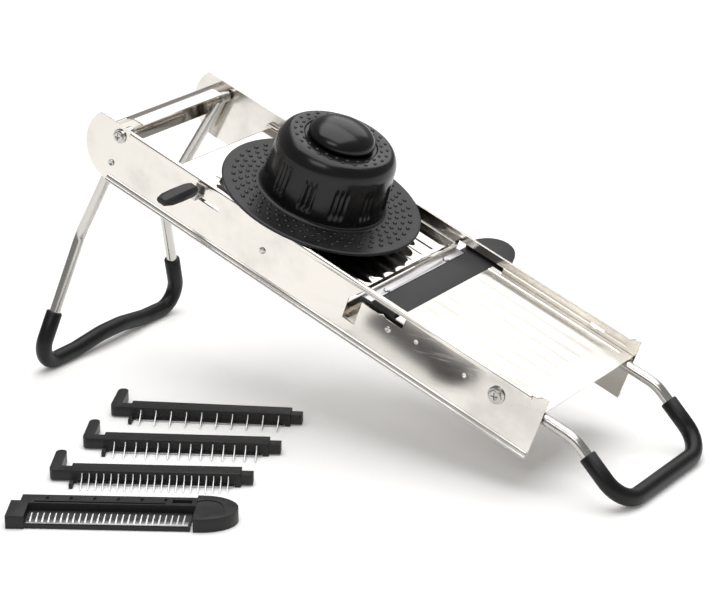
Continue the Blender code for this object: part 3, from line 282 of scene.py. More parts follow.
def ringsOfPipsTree():
    # Staggered rings of raised pips round the guard's axis.
    tree, groupIn, groupOut = newTree("ringsOfPips", "GeometryNodeTree", [
        geometryIn, ("Rings", "NodeSocketInt", 2), ("Pips In Ring", "NodeSocketInt", 40),
        ("First Radius", "NodeSocketFloat", 0.05), ("Ring Pitch", "NodeSocketFloat", 0.006),
        ("Pip Size", "NodeSocketVector", (0.001, 0.002, 0.0005)), ("Height", "NodeSocketFloat", 0.0),
        ("Finish", "NodeSocketMaterial", None)], geometryOut)
    given = groupIn.outputs
    number = addNode(tree, "GeometryNodeInputIndex").outputs[0]
    ring = mathNode(tree, "FLOOR", mathNode(tree, "DIVIDE", number, given["Pips In Ring"]))
    stagger = mathNode(tree, "MULTIPLY", mathNode(tree, "MODULO", ring, 2.0), 0.5)
    share = mathNode(tree, "DIVIDE", mathNode(tree, "ADD", number, stagger), given["Pips In Ring"])
    turn = mathNode(tree, "MULTIPLY", share, math.tau)
    radius = mathNode(tree, "MULTIPLY_ADD", ring, given["Ring Pitch"], given["First Radius"])
    spot = addNode(tree, "ShaderNodeCombineXYZ", {
        "X": mathNode(tree, "MULTIPLY", radius, mathNode(tree, "COSINE", turn)),
        "Y": mathNode(tree, "MULTIPLY", radius, mathNode(tree, "SINE", turn)), "Z": given["Height"]})
    count = mathNode(tree, "MULTIPLY", given["Rings"], given["Pips In Ring"])
    points = addNode(tree, "GeometryNodePoints", {"Count": count, "Position": spot.outputs[0]})
    pip = addNode(tree, "GeometryNodeMeshUVSphere", {"Segments": 10, "Rings": 6, "Radius": 1.0})
    smooth = addNode(tree, "GeometryNodeSetShadeSmooth", {"Geometry": pip.outputs[0]})
    facing = addNode(tree, "ShaderNodeCombineXYZ", {"Z": turn})
    placed = addNode(tree, "GeometryNodeInstanceOnPoints", {
        "Points": points.outputs[0], "Instance": smooth.outputs[0], "Rotation": facing.outputs[0],
        "Scale": given["Pip Size"]})
    return closeTree(tree, groupIn, groupOut, placed.outputs[0])


def rowOfShapesTree():
    # One shape repeated in a straight row, such as comb fins and tray teeth.
    tree, groupIn, groupOut = newTree("rowOfShapes", "GeometryNodeTree", [
        geometryIn, ("Shape", "NodeSocketObject", None), ("Count", "NodeSocketInt", 10),
        ("First Place", "NodeSocketVector", (0.0, 0.0, 0.0)), ("Step", "NodeSocketVector", (0.01, 0.0, 0.0)),
        ("Finish", "NodeSocketMaterial", None)], geometryOut)
    given = groupIn.outputs
    line = addNode(tree, "GeometryNodeMeshLine", {
        "Count": given["Count"], "Start Location": given["First Place"], "Offset": given["Step"]}, mode="OFFSET")
    shape = addNode(tree, "GeometryNodeObjectInfo", {"Object": given["Shape"]})
    placed = addNode(tree, "GeometryNodeInstanceOnPoints", {
        "Points": line.outputs[0], "Instance": shape.outputs["Geometry"]})
    return closeTree(tree, groupIn, groupOut, placed.outputs[0])


def mirroredHeadsTree():
    # The same fastener head on both rails, the far one turned round.
    tree, groupIn, groupOut = newTree("mirroredHeads", "GeometryNodeTree", [
        geometryIn, ("Shape", "NodeSocketObject", None), ("Station", "NodeSocketFloat", 0.0),
        ("Depth", "NodeSocketFloat", 0.0), ("Half Width", "NodeSocketFloat", 0.064),
        ("Finish", "NodeSocketMaterial", None)], geometryOut)
    given = groupIn.outputs
    number = addNode(tree, "GeometryNodeInputIndex").outputs[0]
    side = mathNode(tree, "MULTIPLY_ADD", number, 2.0, -1.0)
    spot = addNode(tree, "ShaderNodeCombineXYZ", {
        "X": given["Station"], "Y": mathNode(tree, "MULTIPLY", given["Half Width"], side), "Z": given["Depth"]})
    points = addNode(tree, "GeometryNodePoints", {"Count": 2, "Position": spot.outputs[0]})
    facing = addNode(tree, "ShaderNodeCombineXYZ", {"X": mathNode(tree, "MULTIPLY", side, -math.pi / 2)})
    shape = addNode(tree, "GeometryNodeObjectInfo", {"Object": given["Shape"]})
    placed = addNode(tree, "GeometryNodeInstanceOnPoints", {
        "Points": points.outputs[0], "Instance": shape.outputs["Geometry"], "Rotation": facing.outputs[0]})
    return closeTree(tree, groupIn, groupOut, placed.outputs[0])


sheetGrid = {"along": 90, "across": 281}  # points of a pressed sheet
grooveSizes = {"crest": 0.0003, "foot": 0.0011, "endGap": 0.009}


def ribbedSheetTree():
    # A flat grid pressed into ribs along the body, fading out towards its ends.
    tree, groupIn, groupOut = newTree("ribbedSheet", "GeometryNodeTree", [
        geometryIn, ("Length", "NodeSocketFloat", 0.1), ("Width", "NodeSocketFloat", 0.1),
        ("Rib Pitch", "NodeSocketFloat", 0.0135), ("Rib Height", "NodeSocketFloat", 0.0009),
        ("Ribbed Half Width", "NodeSocketFloat", 0.054), ("Fade Start", "NodeSocketFloat", 0.01),
        ("Fade End", "NodeSocketFloat", 0.01), ("Edge Groove", "NodeSocketFloat", 0.0),
        ("Groove Place", "NodeSocketFloat", 0.0565), ("Finish", "NodeSocketMaterial", None)], geometryOut)
    given = groupIn.outputs
    grid = addNode(tree, "GeometryNodeMeshGrid", {
        "Size X": given["Length"], "Size Y": given["Width"],
        "Vertices X": sheetGrid["along"], "Vertices Y": sheetGrid["across"]})
    place = addNode(tree, "ShaderNodeSeparateXYZ", {0: addNode(tree, "GeometryNodeInputPosition").outputs[0]})
    ribTurn = mathNode(tree, "MULTIPLY", place.outputs["Y"], math.tau)
    wave = mathNode(tree, "COSINE", mathNode(tree, "DIVIDE", ribTurn, given["Rib Pitch"]))
    lift = mathNode(tree, "MULTIPLY", mathNode(tree, "SUBTRACT", 1.0, wave), 0.5)
    reach = mathNode(tree, "ABSOLUTE", place.outputs["Y"])
    ribbed = mathNode(tree, "LESS_THAN", reach, given["Ribbed Half Width"])
    half = mathNode(tree, "MULTIPLY", given["Length"], 0.5)
    fromStart = mathNode(tree, "ADD", place.outputs["X"], half)
    fromEnd = mathNode(tree, "SUBTRACT", half, place.outputs["X"])
    fadeIn = addNode(tree, "ShaderNodeMapRange", {
        "Value": fromStart, "From Min": 0.0, "From Max": given["Fade Start"]}, interpolation_type="SMOOTHSTEP")
    fadeOut = addNode(tree, "ShaderNodeMapRange", {
        "Value": fromEnd, "From Min": mathNode(tree, "MULTIPLY", given["Fade End"], 0.55),
        "From Max": given["Fade End"]}, interpolation_type="SMOOTHSTEP")
    fade = mathNode(tree, "MULTIPLY", fadeIn.outputs[0], fadeOut.outputs[0])
    ribs = mathNode(tree, "MULTIPLY", mathNode(tree, "MULTIPLY", lift, ribbed), mathNode(
        tree, "MULTIPLY", fade, given["Rib Height"]))
    away = mathNode(tree, "ABSOLUTE", mathNode(tree, "SUBTRACT", reach, given["Groove Place"]))
    ridge = addNode(tree, "ShaderNodeMapRange", {
        "Value": away, "From Min": grooveSizes["crest"], "From Max": grooveSizes["foot"], "To Min": 1.0,
        "To Max": 0.0},
        interpolation_type="SMOOTHSTEP")
    groove = mathNode(tree, "MULTIPLY", mathNode(tree, "MULTIPLY", ridge.outputs[0], given["Edge Groove"]),
                      mathNode(tree, "GREATER_THAN", fromEnd, grooveSizes["endGap"]))
    offset = addNode(tree, "ShaderNodeCombineXYZ", {"Z": mathNode(tree, "ADD", ribs, groove)})
    pressed = addNode(tree, "GeometryNodeSetPosition", {"Geometry": grid.outputs[0], "Offset": offset.outputs[0]})
    smooth = addNode(tree, "GeometryNodeSetShadeSmooth", {"Geometry": pressed.outputs[0]})
    return closeTree(tree, groupIn, groupOut, smooth.outputs[0])


pipTree, rowTree = ringsOfPipsTree(), rowOfShapesTree()
headTree, sheetTree = mirroredHeadsTree(), ribbedSheetTree()
print("node trees built")

# ---- finishes

finishes = {
    "polishedSteel": {"colour": (0.80, 0.765, 0.715), "deep": (0.62, 0.595, 0.56), "roughness": 0.11,
                      "smudge": 0.10, "scratch": 0.10, "wave": 0.0006, "waveScale": 9.0},
    "mirrorSteel": {"colour": (0.83, 0.795, 0.75), "deep": (0.72, 0.695, 0.66), "roughness": 0.07,
                    "smudge": 0.06, "scratch": 0.06, "wave": 0.0001, "waveScale": 12.0},
    "landingSteel": {"colour": (0.70, 0.67, 0.625), "deep": (0.60, 0.575, 0.54), "roughness": 0.26,
                     "smudge": 0.06, "scratch": 0.08, "wave": 0.0002, "waveScale": 12.0},
    "wireSteel": {"colour": (0.60, 0.585, 0.56), "deep": (0.48, 0.465, 0.44), "roughness": 0.17,
                  "smudge": 0.10, "scratch": 0.12, "wave": 0.00001, "waveScale": 60.0},
    # Darker, greyer copy of the rail steel for the rolled bead: painted shade along the rail's lower edge.
    "shadedBeadSteel": {"colour": (0.58, 0.56, 0.535), "deep": (0.46, 0.445, 0.42), "roughness": 0.24,
                  "smudge": 0.10, "scratch": 0.12, "wave": 0.00001, "waveScale": 30.0},
    "bladeSteel": {"colour": (0.55, 0.54, 0.55), "deep": (0.46, 0.45, 0.46), "roughness": 0.30,
                   "smudge": 0.10, "scratch": 0.15, "wave": 0.00001, "waveScale": 40.0},
    "guardPlastic": {"colour": (0.0035, 0.0035, 0.0038), "dusty": (0.008, 0.008, 0.0083), "roughness": 0.22,
                     "grain": 0.00001, "grainScale": 900.0, "coat": 0.12, "shine": 0.30},
    "brimPlastic": {"colour": (0.009, 0.009, 0.0093), "dusty": (0.022, 0.022, 0.0225), "roughness": 0.36,
                    "grain": 0.00004, "grainScale": 700.0, "coat": 0.0, "shine": 0.32},
    "combPlastic": {"colour": (0.009, 0.009, 0.0092), "dusty": (0.026, 0.026, 0.0265), "roughness": 0.46,
                    "grain": 0.00006, "grainScale": 1100.0, "coat": 0.0, "shine": 0.40},
    "sleeveRubber": {"colour": (0.0035, 0.0035, 0.0038), "dusty": (0.010, 0.010, 0.0103), "roughness": 0.38,
                     "grain": 0.00003, "grainScale": 600.0, "coat": 0.0, "shine": 0.30},
}


def handlingMarksGroup():
    # Soft smudges and fine rubbed scratches, as masks from 0 to 1.
    tree, groupIn, groupOut = newTree("handlingMarks", "ShaderNodeTree", [
        ("Vector", "NodeSocketVector", None), ("Smudge Scale", "NodeSocketFloat", 14.0),
        ("Scratch Scale", "NodeSocketFloat", 260.0)],
        [("Smudge", "NodeSocketFloat"), ("Scratch", "NodeSocketFloat")])
    given = groupIn.outputs
    cloud = addNode(tree, "ShaderNodeTexNoise", {
        "Vector": given["Vector"], "Scale": given["Smudge Scale"], "Detail": 5.0, "Roughness": 0.62})
    soft = addNode(tree, "ShaderNodeMapRange", {
        "Value": cloud.outputs[0], "From Min": 0.42, "From Max": 0.72}, interpolation_type="SMOOTHSTEP")
    stretched = addNode(tree, "ShaderNodeMapping", {
        "Vector": given["Vector"], "Rotation": (0.0, slopeAngle, 0.12), "Scale": (0.05, 1.0, 1.0)})
    line = addNode(tree, "ShaderNodeTexNoise", {
        "Vector": stretched.outputs[0], "Scale": given["Scratch Scale"], "Detail": 3.0, "Roughness": 0.7})
    fine = addNode(tree, "ShaderNodeMapRange", {"Value": line.outputs[0], "From Min": 0.58, "From Max": 0.74})
    tree.links.new(soft.outputs[0], groupOut.inputs["Smudge"])
    tree.links.new(fine.outputs[0], groupOut.inputs["Scratch"])
    return tree


def mouldGrainGroup():
    # Fine moulded texture and a little settled dust.
    tree, groupIn, groupOut = newTree("mouldGrain", "ShaderNodeTree", [
        ("Vector", "NodeSocketVector", None), ("Grain Scale", "NodeSocketFloat", 900.0)],
        [("Grain", "NodeSocketFloat"), ("Dust", "NodeSocketFloat")])
    given = groupIn.outputs
    grain = addNode(tree, "ShaderNodeTexNoise", {
        "Vector": given["Vector"], "Scale": given["Grain Scale"], "Detail": 2.0})
    cloud = addNode(tree, "ShaderNodeTexNoise", {
        "Vector": given["Vector"], "Scale": 45.0, "Detail": 6.0, "Roughness": 0.7})
    patch = addNode(tree, "ShaderNodeMapRange", {
        "Value": cloud.outputs[0], "From Min": 0.45, "From Max": 0.75})
    normal = addNode(tree, "ShaderNodeNewGeometry").outputs["Normal"]
    facing = addNode(tree, "ShaderNodeSeparateXYZ", {0: normal})
    upward = addNode(tree, "ShaderNodeMapRange", {
        "Value": facing.outputs["Z"], "From Min": 0.2, "From Max": 1.0})
    tree.links.new(grain.outputs[0], groupOut.inputs["Grain"])
    tree.links.new(mathNode(tree, "MULTIPLY", patch.outputs[0], upward.outputs[0]), groupOut.inputs["Dust"])
    return tree


marksGroup, grainGroup = handlingMarksGroup(), mouldGrainGroup()


def steelFinish(name):
    look = finishes[name]
    material = bpy.data.materials.new(name)
    material.use_nodes = True
    tree = material.node_tree
    shader = tree.nodes["Principled BSDF"]
    shader.inputs["Metallic"].default_value = 1.0
    where = addNode(tree, "ShaderNodeTexCoord").outputs["Object"]
    marks = addNode(tree, "ShaderNodeGroup", node_tree=marksGroup)
    tree.links.new(where, marks.inputs["Vector"])
    colour = addNode(tree, "ShaderNodeMix", {
        "Factor": marks.outputs["Smudge"], 6: (*look["colour"], 1.0), 7: (*look["deep"], 1.0)},
        data_type="RGBA")
    tree.links.new(colour.outputs[2], shader.inputs["Base Color"])
    rough = mathNode(tree, "MULTIPLY_ADD", marks.outputs["Smudge"], look["smudge"], look["roughness"])
    rough = mathNode(tree, "MULTIPLY_ADD", marks.outputs["Scratch"], look["scratch"], rough)
    tree.links.new(rough, shader.inputs["Roughness"])
    wave = addNode(tree, "ShaderNodeTexNoise", {"Vector": where, "Scale": look["waveScale"], "Detail": 1.0})
    relief = mathNode(tree, "MULTIPLY", wave.outputs[0], look["wave"])
    bump = addNode(tree, "ShaderNodeBump", {"Height": relief, "Distance": 1.0, "Strength": 1.0})
    tree.links.new(bump.outputs[0], shader.inputs["Normal"])
    return material


def mouldedFinish(name):
    look = finishes[name]
    material = bpy.data.materials.new(name)
    material.use_nodes = True
    tree = material.node_tree
    shader = tree.nodes["Principled BSDF"]
    shader.inputs["Coat Weight"].default_value = look["coat"]
    shader.inputs["Coat Roughness"].default_value = 0.12
    shader.inputs["Specular IOR Level"].default_value = look["shine"]
    where = addNode(tree, "ShaderNodeTexCoord").outputs["Object"]
    grain = addNode(tree, "ShaderNodeGroup", node_tree=grainGroup)
    tree.links.new(where, grain.inputs["Vector"])
    grain.inputs["Grain Scale"].default_value = look["grainScale"]
    colour = addNode(tree, "ShaderNodeMix", {
        "Factor": grain.outputs["Dust"], 6: (*look["colour"], 1.0), 7: (*look["dusty"], 1.0)},
        data_type="RGBA")
    tree.links.new(colour.outputs[2], shader.inputs["Base Color"])
    rough = mathNode(tree, "MULTIPLY_ADD", grain.outputs["Dust"], 0.15, look["roughness"])
    tree.links.new(rough, shader.inputs["Roughness"])
    relief = mathNode(tree, "MULTIPLY", grain.outputs["Grain"], look["grain"])
    bump = addNode(tree, "ShaderNodeBump", {"Height": relief, "Distance": 1.0, "Strength": 1.0})
    tree.links.new(bump.outputs[0], shader.inputs["Normal"])
    return material


steelNames = ("polishedSteel", "mirrorSteel", "landingSteel", "wireSteel", "shadedBeadSteel", "bladeSteel")
materials = {name: steelFinish(name) if name in steelNames else mouldedFinish(name) for name in finishes}
print("finishes made")

# ---- steel body

bodySizes = {
    "sheet": 0.0012, "railHeight": 0.045, "length": 0.400, "earRadius": 0.027, "earInset": 0.001,
    "hemStart": 0.037, "hemEnd": 0.3885, "hemHeight": 0.0042, "hemDepth": 0.0016, "beadDepth": 0.0026,
    "stopLength": 0.0085, "stopHeight": 0.0034, "clearance": 0.0003,
}
earCentre = (bodySizes["earRadius"] + bodySizes["earInset"], bodySizes["earRadius"] - bodySizes["railHeight"])
halfWidth = halfInner + bodySizes["sheet"]


def strip(name, profile, side, start, end, crown=0.0008):
    # Pushes a rounded cross profile along the rail and draws its ends in a little.
    # A profile point is its reach out from the inner face and its depth.
    middle = [sum(point[axis] for point in profile) / len(profile) for axis in (0, 1)]
    rings = []
    for station, scale in ((start, 0.6), (start + crown, 1.0), (end - crown, 1.0), (end, 0.6)):
        rings.append([(station, side * (halfInner + middle[0] + (reach - middle[0]) * scale),
                       middle[1] + (depth - middle[1]) * scale) for reach, depth in profile])
    return loftRings(name, rings)


def railPiece(side):
    s = bodySizes
    topAngle = math.pi - math.asin(-earCentre[1] / s["earRadius"])
    outline = arcLine(earCentre, s["earRadius"], topAngle, 1.5 * math.pi, 40)
    outline += [(s["length"], -s["railHeight"]), (s["length"], 0.0)]
    low, high = sorted((side * halfInner, side * halfWidth))
    web = slab("web", outline, low, high, "Y")
    stopRoot = -0.003
    stopOutline = [(s["length"] - s["stopLength"], stopRoot)]
    for share in (0.0, 0.08, 0.2, 0.4, 0.6, 0.8):
        rise = math.sin(math.pi * min(1.0, share * 1.25) / 2)
        stopOutline.append((s["length"] - s["stopLength"] * (1 - share), s["stopHeight"] * rise))
    stopOutline += [(s["length"], s["stopHeight"]), (s["length"], stopRoot)]
    cutWith(web, [slab("stop", stopOutline, low, high, "Y")], "UNION")
    holes = []
    sheet = s["sheet"]
    if side < 0:
        notch = [(0.2390, -0.0154), (0.2483, -s["hemHeight"]), (0.2840, -s["hemHeight"]), (0.2840, -0.0129),
                 (0.2702, -0.0129), (0.2672, -0.0114), (0.2642, -0.0129), (0.2495, -0.0129),
                 (0.2495, -0.0314), (0.2390, -0.0314)]
        holes.append(slab("notch", notch, -0.08, -0.05, "Y"))
        holes.append(blockOf("leverSlot", (0.0965, -0.08, -0.0159), (0.1225, -0.05, -0.0135)))
    else:
        holes.append(blockOf("window", (0.2450, 0.05, -0.0152), (0.2845, 0.08, -0.0062)))
        holes.append(blockOf("combWindow", (0.2390, 0.05, -0.0314), (0.2495, 0.08, -0.0214)))
        holes.append(blockOf("stopHole", (0.360, 0.05, -0.0070), (0.372, 0.08, -0.0045)))
    cutWith(web, holes)
    roundEdges(web, 0.00018, 1)
    inner, outer = sheet * 0.5, sheet + s["hemDepth"]
    hem = [(inner, -0.0002)] + [(outer - 0.0014 + 0.0014 * math.sin(turn), -0.0014 + 0.0014 * math.cos(turn))
                                for turn in [math.pi / 2 * step / 6 for step in range(7)]]
    hem += [(outer, -s["hemHeight"] + 0.0009), (outer - 0.0003, -s["hemHeight"] + 0.0002),
            (outer - 0.0009, -s["hemHeight"]), (sheet * 0.8, -s["hemHeight"]), (inner, -s["hemHeight"] + 0.0004)]
    bottom, bulge = -s["railHeight"], sheet + s["beadDepth"]
    bead = [(inner, bottom + 0.0050), (sheet + 0.0002, bottom + 0.0051), (sheet + 0.0010, bottom + 0.0046),
            (sheet + 0.0013, bottom + 0.0038), (sheet + 0.0014, bottom + 0.0030)]
    bead += [(bulge - 0.0012 + 0.0012 * math.cos(turn), bottom + 0.0013 + 0.0012 * math.sin(turn))
             for turn in [math.pi / 2 - math.pi * step / 10 for step in range(11)]]
    bead.append((inner, bottom + 0.0001))
    steel = materials["polishedSteel"]
    # The bead takes the darker steel copy, painted shade along the rail's foot.
    parts = [paint(web, steel), paint(smoothBy(strip("hem", hem, side, s["hemStart"], s["hemEnd"])), steel),
             paint(smoothBy(strip("bead", bead, side, earCentre[0], s["length"])), materials["shadedBeadSteel"])]
    weld = [(0.0, -0.0004), (0.0018, -0.0004), (0.0016, 0.0001), (0.0009, 0.00025), (0.0, 0.0003)]
    for station, depth in ((0.297, -0.0153), (0.338, -0.0164)):
        bump = pointTo(turned("weld", weld, 24), (0.0, side, 0.0), (station, side * halfWidth, depth))
        parts.append(paint(smoothBy(bump), steel))
    return inBody(joined("railNear" if side < 0 else "railFar", parts))


fit(railPiece(-1), "body", "polished_steel", "side_rail_near")
fit(railPiece(1), "body", "polished_steel", "side_rail_far")

bridgeSizes = {"radius": 0.0176, "lowerAngle": math.radians(230.0), "flange": 0.0055, "corner": 0.016,
               "cutBack": 0.0193}


def headBridge():
    b = bridgeSizes
    half, inner = halfInner - bodySizes["clearance"], b["radius"] - bodySizes["sheet"]
    outline = [(earCentre[0] + b["flange"], earCentre[1] + b["radius"])]
    outline += arcLine(earCentre, b["radius"], math.pi / 2, b["lowerAngle"], 44)
    outline += arcLine(earCentre, inner, b["lowerAngle"], math.pi / 2, 44)
    outline.append((earCentre[0] + b["flange"], earCentre[1] + inner))
    bridge = slab("headBridge", outline, -half, half, "Y")
    corners = []
    for side in (-1, 1):
        low, high = sorted((side * (half - b["corner"]), side * (half + 0.01)))
        corners.append(blockOf("corner", (b["cutBack"], low, -0.02), (0.06, high, 0.01)))
    cutWith(bridge, corners)
    return paint(inBody(roundEdges(bridge, 0.0002, 1)), materials["polishedSteel"])


fit(headBridge(), "body", "polished_steel", "head_bridge")

plateSizes = {
    "sheet": 0.0010, "depth": 0.0094, "ribPitch": 0.0135, "rampRib": 0.0006, "landingRib": 0.00032,
    "landingStart": 0.2765, "landingEnd": 0.3985, "flange": 0.0110, "rampStart": 0.0743, "rampEnd": 0.242,
    "rootLength": 0.0112, "rootInset": 0.0036, "lip": 0.003,
}


def ribbedPlate(name, start, end, half, values, material):
    length = end - start
    plate = growMesh(name, sheetTree, {
        "Length": length, "Width": 2 * half, "Rib Pitch": plateSizes["ribPitch"], "Finish": material, **values})
    plate.data.transform(Matrix.Translation(((start + end) / 2, 0.0, -plateSizes["depth"])))
    wall = plate.modifiers.new("wall", "SOLIDIFY")
    wall.thickness = plateSizes["sheet"]
    wall.offset = -1.0
    return smoothBy(settled(plate), 35.0)


def landingPlate():
    p, steel = plateSizes, materials["landingSteel"]
    half = halfInner - bodySizes["clearance"]
    parts = [ribbedPlate("landing", p["landingStart"], p["landingEnd"], half, {
        "Rib Height": p["landingRib"], "Fade Start": 0.004, "Fade End": 0.024, "Edge Groove": 0.0005,
        "Groove Place": 0.0572}, steel)]
    low = -p["depth"] - p["flange"]
    for side in (-1, 1):
        near, far = sorted((side * (half - p["sheet"]), side * half))
        flange = blockOf("flange", (0.290, near, low), (p["landingEnd"], far, -p["depth"] - 0.0005))
        parts.append(paint(roundEdges(flange, 0.0003), steel))
    return inBody(joined("landingPlate", parts))


def rampPlate():
    p, steel = plateSizes, materials["mirrorSteel"]
    half = halfInner - 0.0015
    eyeDepth = -p["depth"] - 0.0034
    rootEnd, wide = p["rampStart"] + p["rootLength"], half - p["rootInset"]
    parts = [ribbedPlate("ramp", rootEnd, p["rampEnd"], half, {
        "Rib Height": p["rampRib"], "Fade Start": 0.012, "Fade End": 0.0001}, steel)]
    parts.append(ribbedPlate("rampRoot", p["rampStart"], rootEnd, wide, {"Rib Height": 0.0}, steel))
    lip = blockOf("lip", (p["rampEnd"] - p["sheet"], -half + 0.002, -p["depth"] - p["sheet"] - p["lip"]),
                  (p["rampEnd"], half - 0.002, -p["depth"] - p["sheet"] * 0.5))
    parts.append(paint(roundEdges(lip, 0.0002), steel))
    eyeProfile = [(0.0032, 0.0), (0.0032, 2 * wide), (0.0019, 2 * wide), (0.0019, 0.0)]
    eye = turned("eye", eyeProfile, 32, ringed=True)
    parts.append(paint(smoothBy(pointTo(eye, (0.0, 1.0, 0.0), (pivots["ramp"], -wide, eyeDepth))), steel))
    return inBody(joined("feedRamp", parts))


fit(landingPlate(), "body", "polished_steel", "landing_plate")
fit(rampPlate(), "ramp", "polished_steel", "feed_ramp")

softened = {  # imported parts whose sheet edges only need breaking: finish, edge width, body, slot
    "comb_channel": ("polishedSteel", 0.0002, "body", "polished_steel"),
    "ramp_bracket_near": ("polishedSteel", 0.0004, "body", "polished_steel"),
    "ramp_bracket_far": ("polishedSteel", 0.0004, "body", "polished_steel"),
    "mid_brace": ("polishedSteel", 0.0002, "body", "polished_steel"),
    "carrier_seat": ("polishedSteel", 0.0002, "body", "polished_steel"),
    "lever_crossbar": ("polishedSteel", 0.0002, "body", "polished_steel"),
    "lever_pivot_pin": ("bladeSteel", 0.0002, "body", "satin_steel"),
    "ramp_hinge_rod": ("bladeSteel", 0.0002, "body", "satin_steel"),
    "ramp_follower": ("bladeSteel", 0.0002, "ramp", "satin_steel"),
    "thickness_lever_arm": ("bladeSteel", 0.0002, "lever", "satin_steel"),
    "blade_carrier": ("combPlastic", 0.0004, "carrier", "charcoal_plastic"),
    "main_blade": ("bladeSteel", 0.0001, "carrier", "satin_steel"),
}
for nodeName, (finishName, width, bodyName, slotName) in softened.items():
    softPiece = copyOfNode(nodeName, nodeName + "_rounded")
    paint(roundEdges(softPiece, width), materials[finishName])
    fit(softPiece, bodyName, slotName, nodeName)
print("body, plates and carrier done")

# ---- bolts, rivets and dimples on both rails

shankRadius = 0.0017
fastenerSizes = {
    "tall_leg_bolt": {"place": pivots["tallLeg"], "head": 0.0052, "height": 0.0030, "kind": "hex",
        "shank": 0.0161},
    "short_foot_bolt": {"place": pivots["shortFoot"], "head": 0.0063, "height": 0.0030, "kind": "hex",
        "shank": 0.0161},
    "brace_rivet": {"place": (0.165, -0.0222), "head": 0.0024, "height": 0.0009, "kind": "dome",
        "shank": 0.0036},
    "seat_rivet": {"place": (0.2745, -0.0192), "head": 0.0024, "height": 0.0009, "kind": "dome",
        "shank": 0.0036},
    "leg_detent": {"place": (0.0279, -0.0308), "head": 0.0024, "height": 0.0007, "kind": "ring",
        "shank": 0.0011},
}


def hexHead(name, head, height, shank):
    # Chamfered six-sided head on a round flange, with a cross recess and a plain shank behind.
    flange = turned(name, [(0.0, -shank), (shankRadius, -shank), (shankRadius, 0.0), (head, 0.0),
                           (head, height * 0.22),
                           (head * 0.90, height * 0.36), (head * 0.55, height * 0.40), (0.0, height * 0.40)], 36)
    rings = []
    for level, size in ((height * 0.2, 0.80), (height * 0.86, 0.80), (height, 0.66)):
        ring = [(head * size * math.cos(math.tau * side / 6), head * size * math.sin(math.tau * side / 6), level)
                for side in range(6)]
        rings.append(ring)
    hexed = loftRings("hexed", rings)
    bars = []
    reach, half = head * 0.42, head * 0.075
    for turn in (math.radians(20), math.radians(110)):
        bar = blockOf("bar", (-reach, -half, height * 0.62), (reach, half, height * 1.2))
        bar.data.transform(Matrix.Rotation(turn, 4, "Z"))
        bars.append(bar)
    for bar in bars:
        cutWith(hexed, [bar])
    return joined(name, [smoothBy(flange), roundEdges(hexed, 0.00018)])


def domeHead(name, head, height, shank):
    profile = [(0.0, -shank), (shankRadius, -shank), (shankRadius, 0.0), (head, 0.0),
               (head * 0.97, height * 0.4),
               (head * 0.80, height * 0.75), (head * 0.45, height * 0.95), (0.0, height)]
    return smoothBy(turned(name, profile, 28), 50.0)


def ringHead(name, head, height, shank):
    profile = [(0.0, -shank), (shankRadius, -shank), (shankRadius, 0.0), (head, 0.0),
               (head * 0.95, height * 0.8),
               (head * 0.78, height), (head * 0.58, height * 0.7), (head * 0.45, height * 0.15),
               (0.0, height * 0.05)]
    return smoothBy(turned(name, profile, 28), 60.0)


headMakers = {"hex": hexHead, "dome": domeHead, "ring": ringHead}
for fastener, sizes in fastenerSizes.items():
    head = headMakers[sizes["kind"]]("headShape", sizes["head"], sizes["height"], sizes["shank"])
    station, depth = sizes["place"]
    grown = growMesh(fastener + "s", headTree, {
        "Shape": head, "Station": station, "Depth": depth,
        "Half Width": halfWidth + bodySizes["clearance"], "Finish": materials["wireSteel"]})
    bpy.data.objects.remove(head, do_unlink=True)
    inBody(grown)
    fit(grown, "body", "satin_steel", fastener + "_near", fastener + "_far")
print("fasteners done")

# ---- folding wire legs and their rubber sleeves

legSizes = {
    "wire": 0.0040, "sleeve": 0.0062, "cover": 0.0060, "sides": 32, "knee": (0.0100, -0.1077),
    "kneeInset": 0.0082, "footStation": 0.0290, "footSpread": 0.0220, "arch": 0.0045, "sleeveHeight": 0.044,
    "footStraight": 0.0240, "footReach": 0.0722, "shortSleeve": 0.0360, "eye": 0.0044, "bore": 0.0020,
}
wireSide = halfInner - legSizes["wire"] - 0.0023
sleeveFlat = legSizes["sleeve"] * math.cos(math.pi / 12)


def roundedPath(corners, radii, degrees=5.0):
    path = [Vector(corners[0])]
    for before, corner, after, radius in zip(corners, corners[1:], corners[2:], radii):
        corner = Vector(corner)
        inward, outward = (Vector(before) - corner).normalized(), (Vector(after) - corner).normalized()
        half = inward.angle(outward) / 2
        centre = corner + (inward + outward).normalized() * (radius / math.sin(half))
        first = corner + inward * (radius / math.tan(half)) - centre
        last = corner + outward * (radius / math.tan(half)) - centre
        steps = max(4, round((math.pi - 2 * half) / math.radians(degrees)))
        axis = first.cross(last).normalized()
        path += [centre + Matrix.Rotation(first.angle(last) * step / steps, 3, axis) @ first
                 for step in range(steps + 1)]
    path.append(Vector(corners[-1]))
    return path


def wholeLoop(corners, radii):  # mirrors a half path across the body
    half = roundedPath(corners, radii)
    return half + [Vector((point.x, -point.y, point.z)) for point in reversed(half[:-1])]


def pathFrames(path):
    tangents = [(path[min(index + 1, len(path) - 1)] - path[max(index - 1, 0)]).normalized()
                for index in range(len(path))]
    middle = len(path) // 2
    start = Vector((0.0, 0.0, 1.0))
    normals = {middle: (start - tangents[middle] * start.dot(tangents[middle])).normalized()}
    for order, step in ((range(middle + 1, len(path)), 1), (range(middle - 1, -1, -1), -1)):
        for index in order:
            turn = tangents[index - step].rotation_difference(tangents[index])
            normals[index] = turn @ normals[index - step]
    return [(point, tangents[index], normals[index]) for index, point in enumerate(path)]


def ringRound(frameOnPath, radius, sides):
    centre, tangent, normal = frameOnPath
    side = tangent.cross(normal)
    turns = [math.tau * (step + 0.5) / sides for step in range(sides)]
    return [centre + normal * (radius * math.cos(turn)) + side * (radius * math.sin(turn)) for turn in turns]


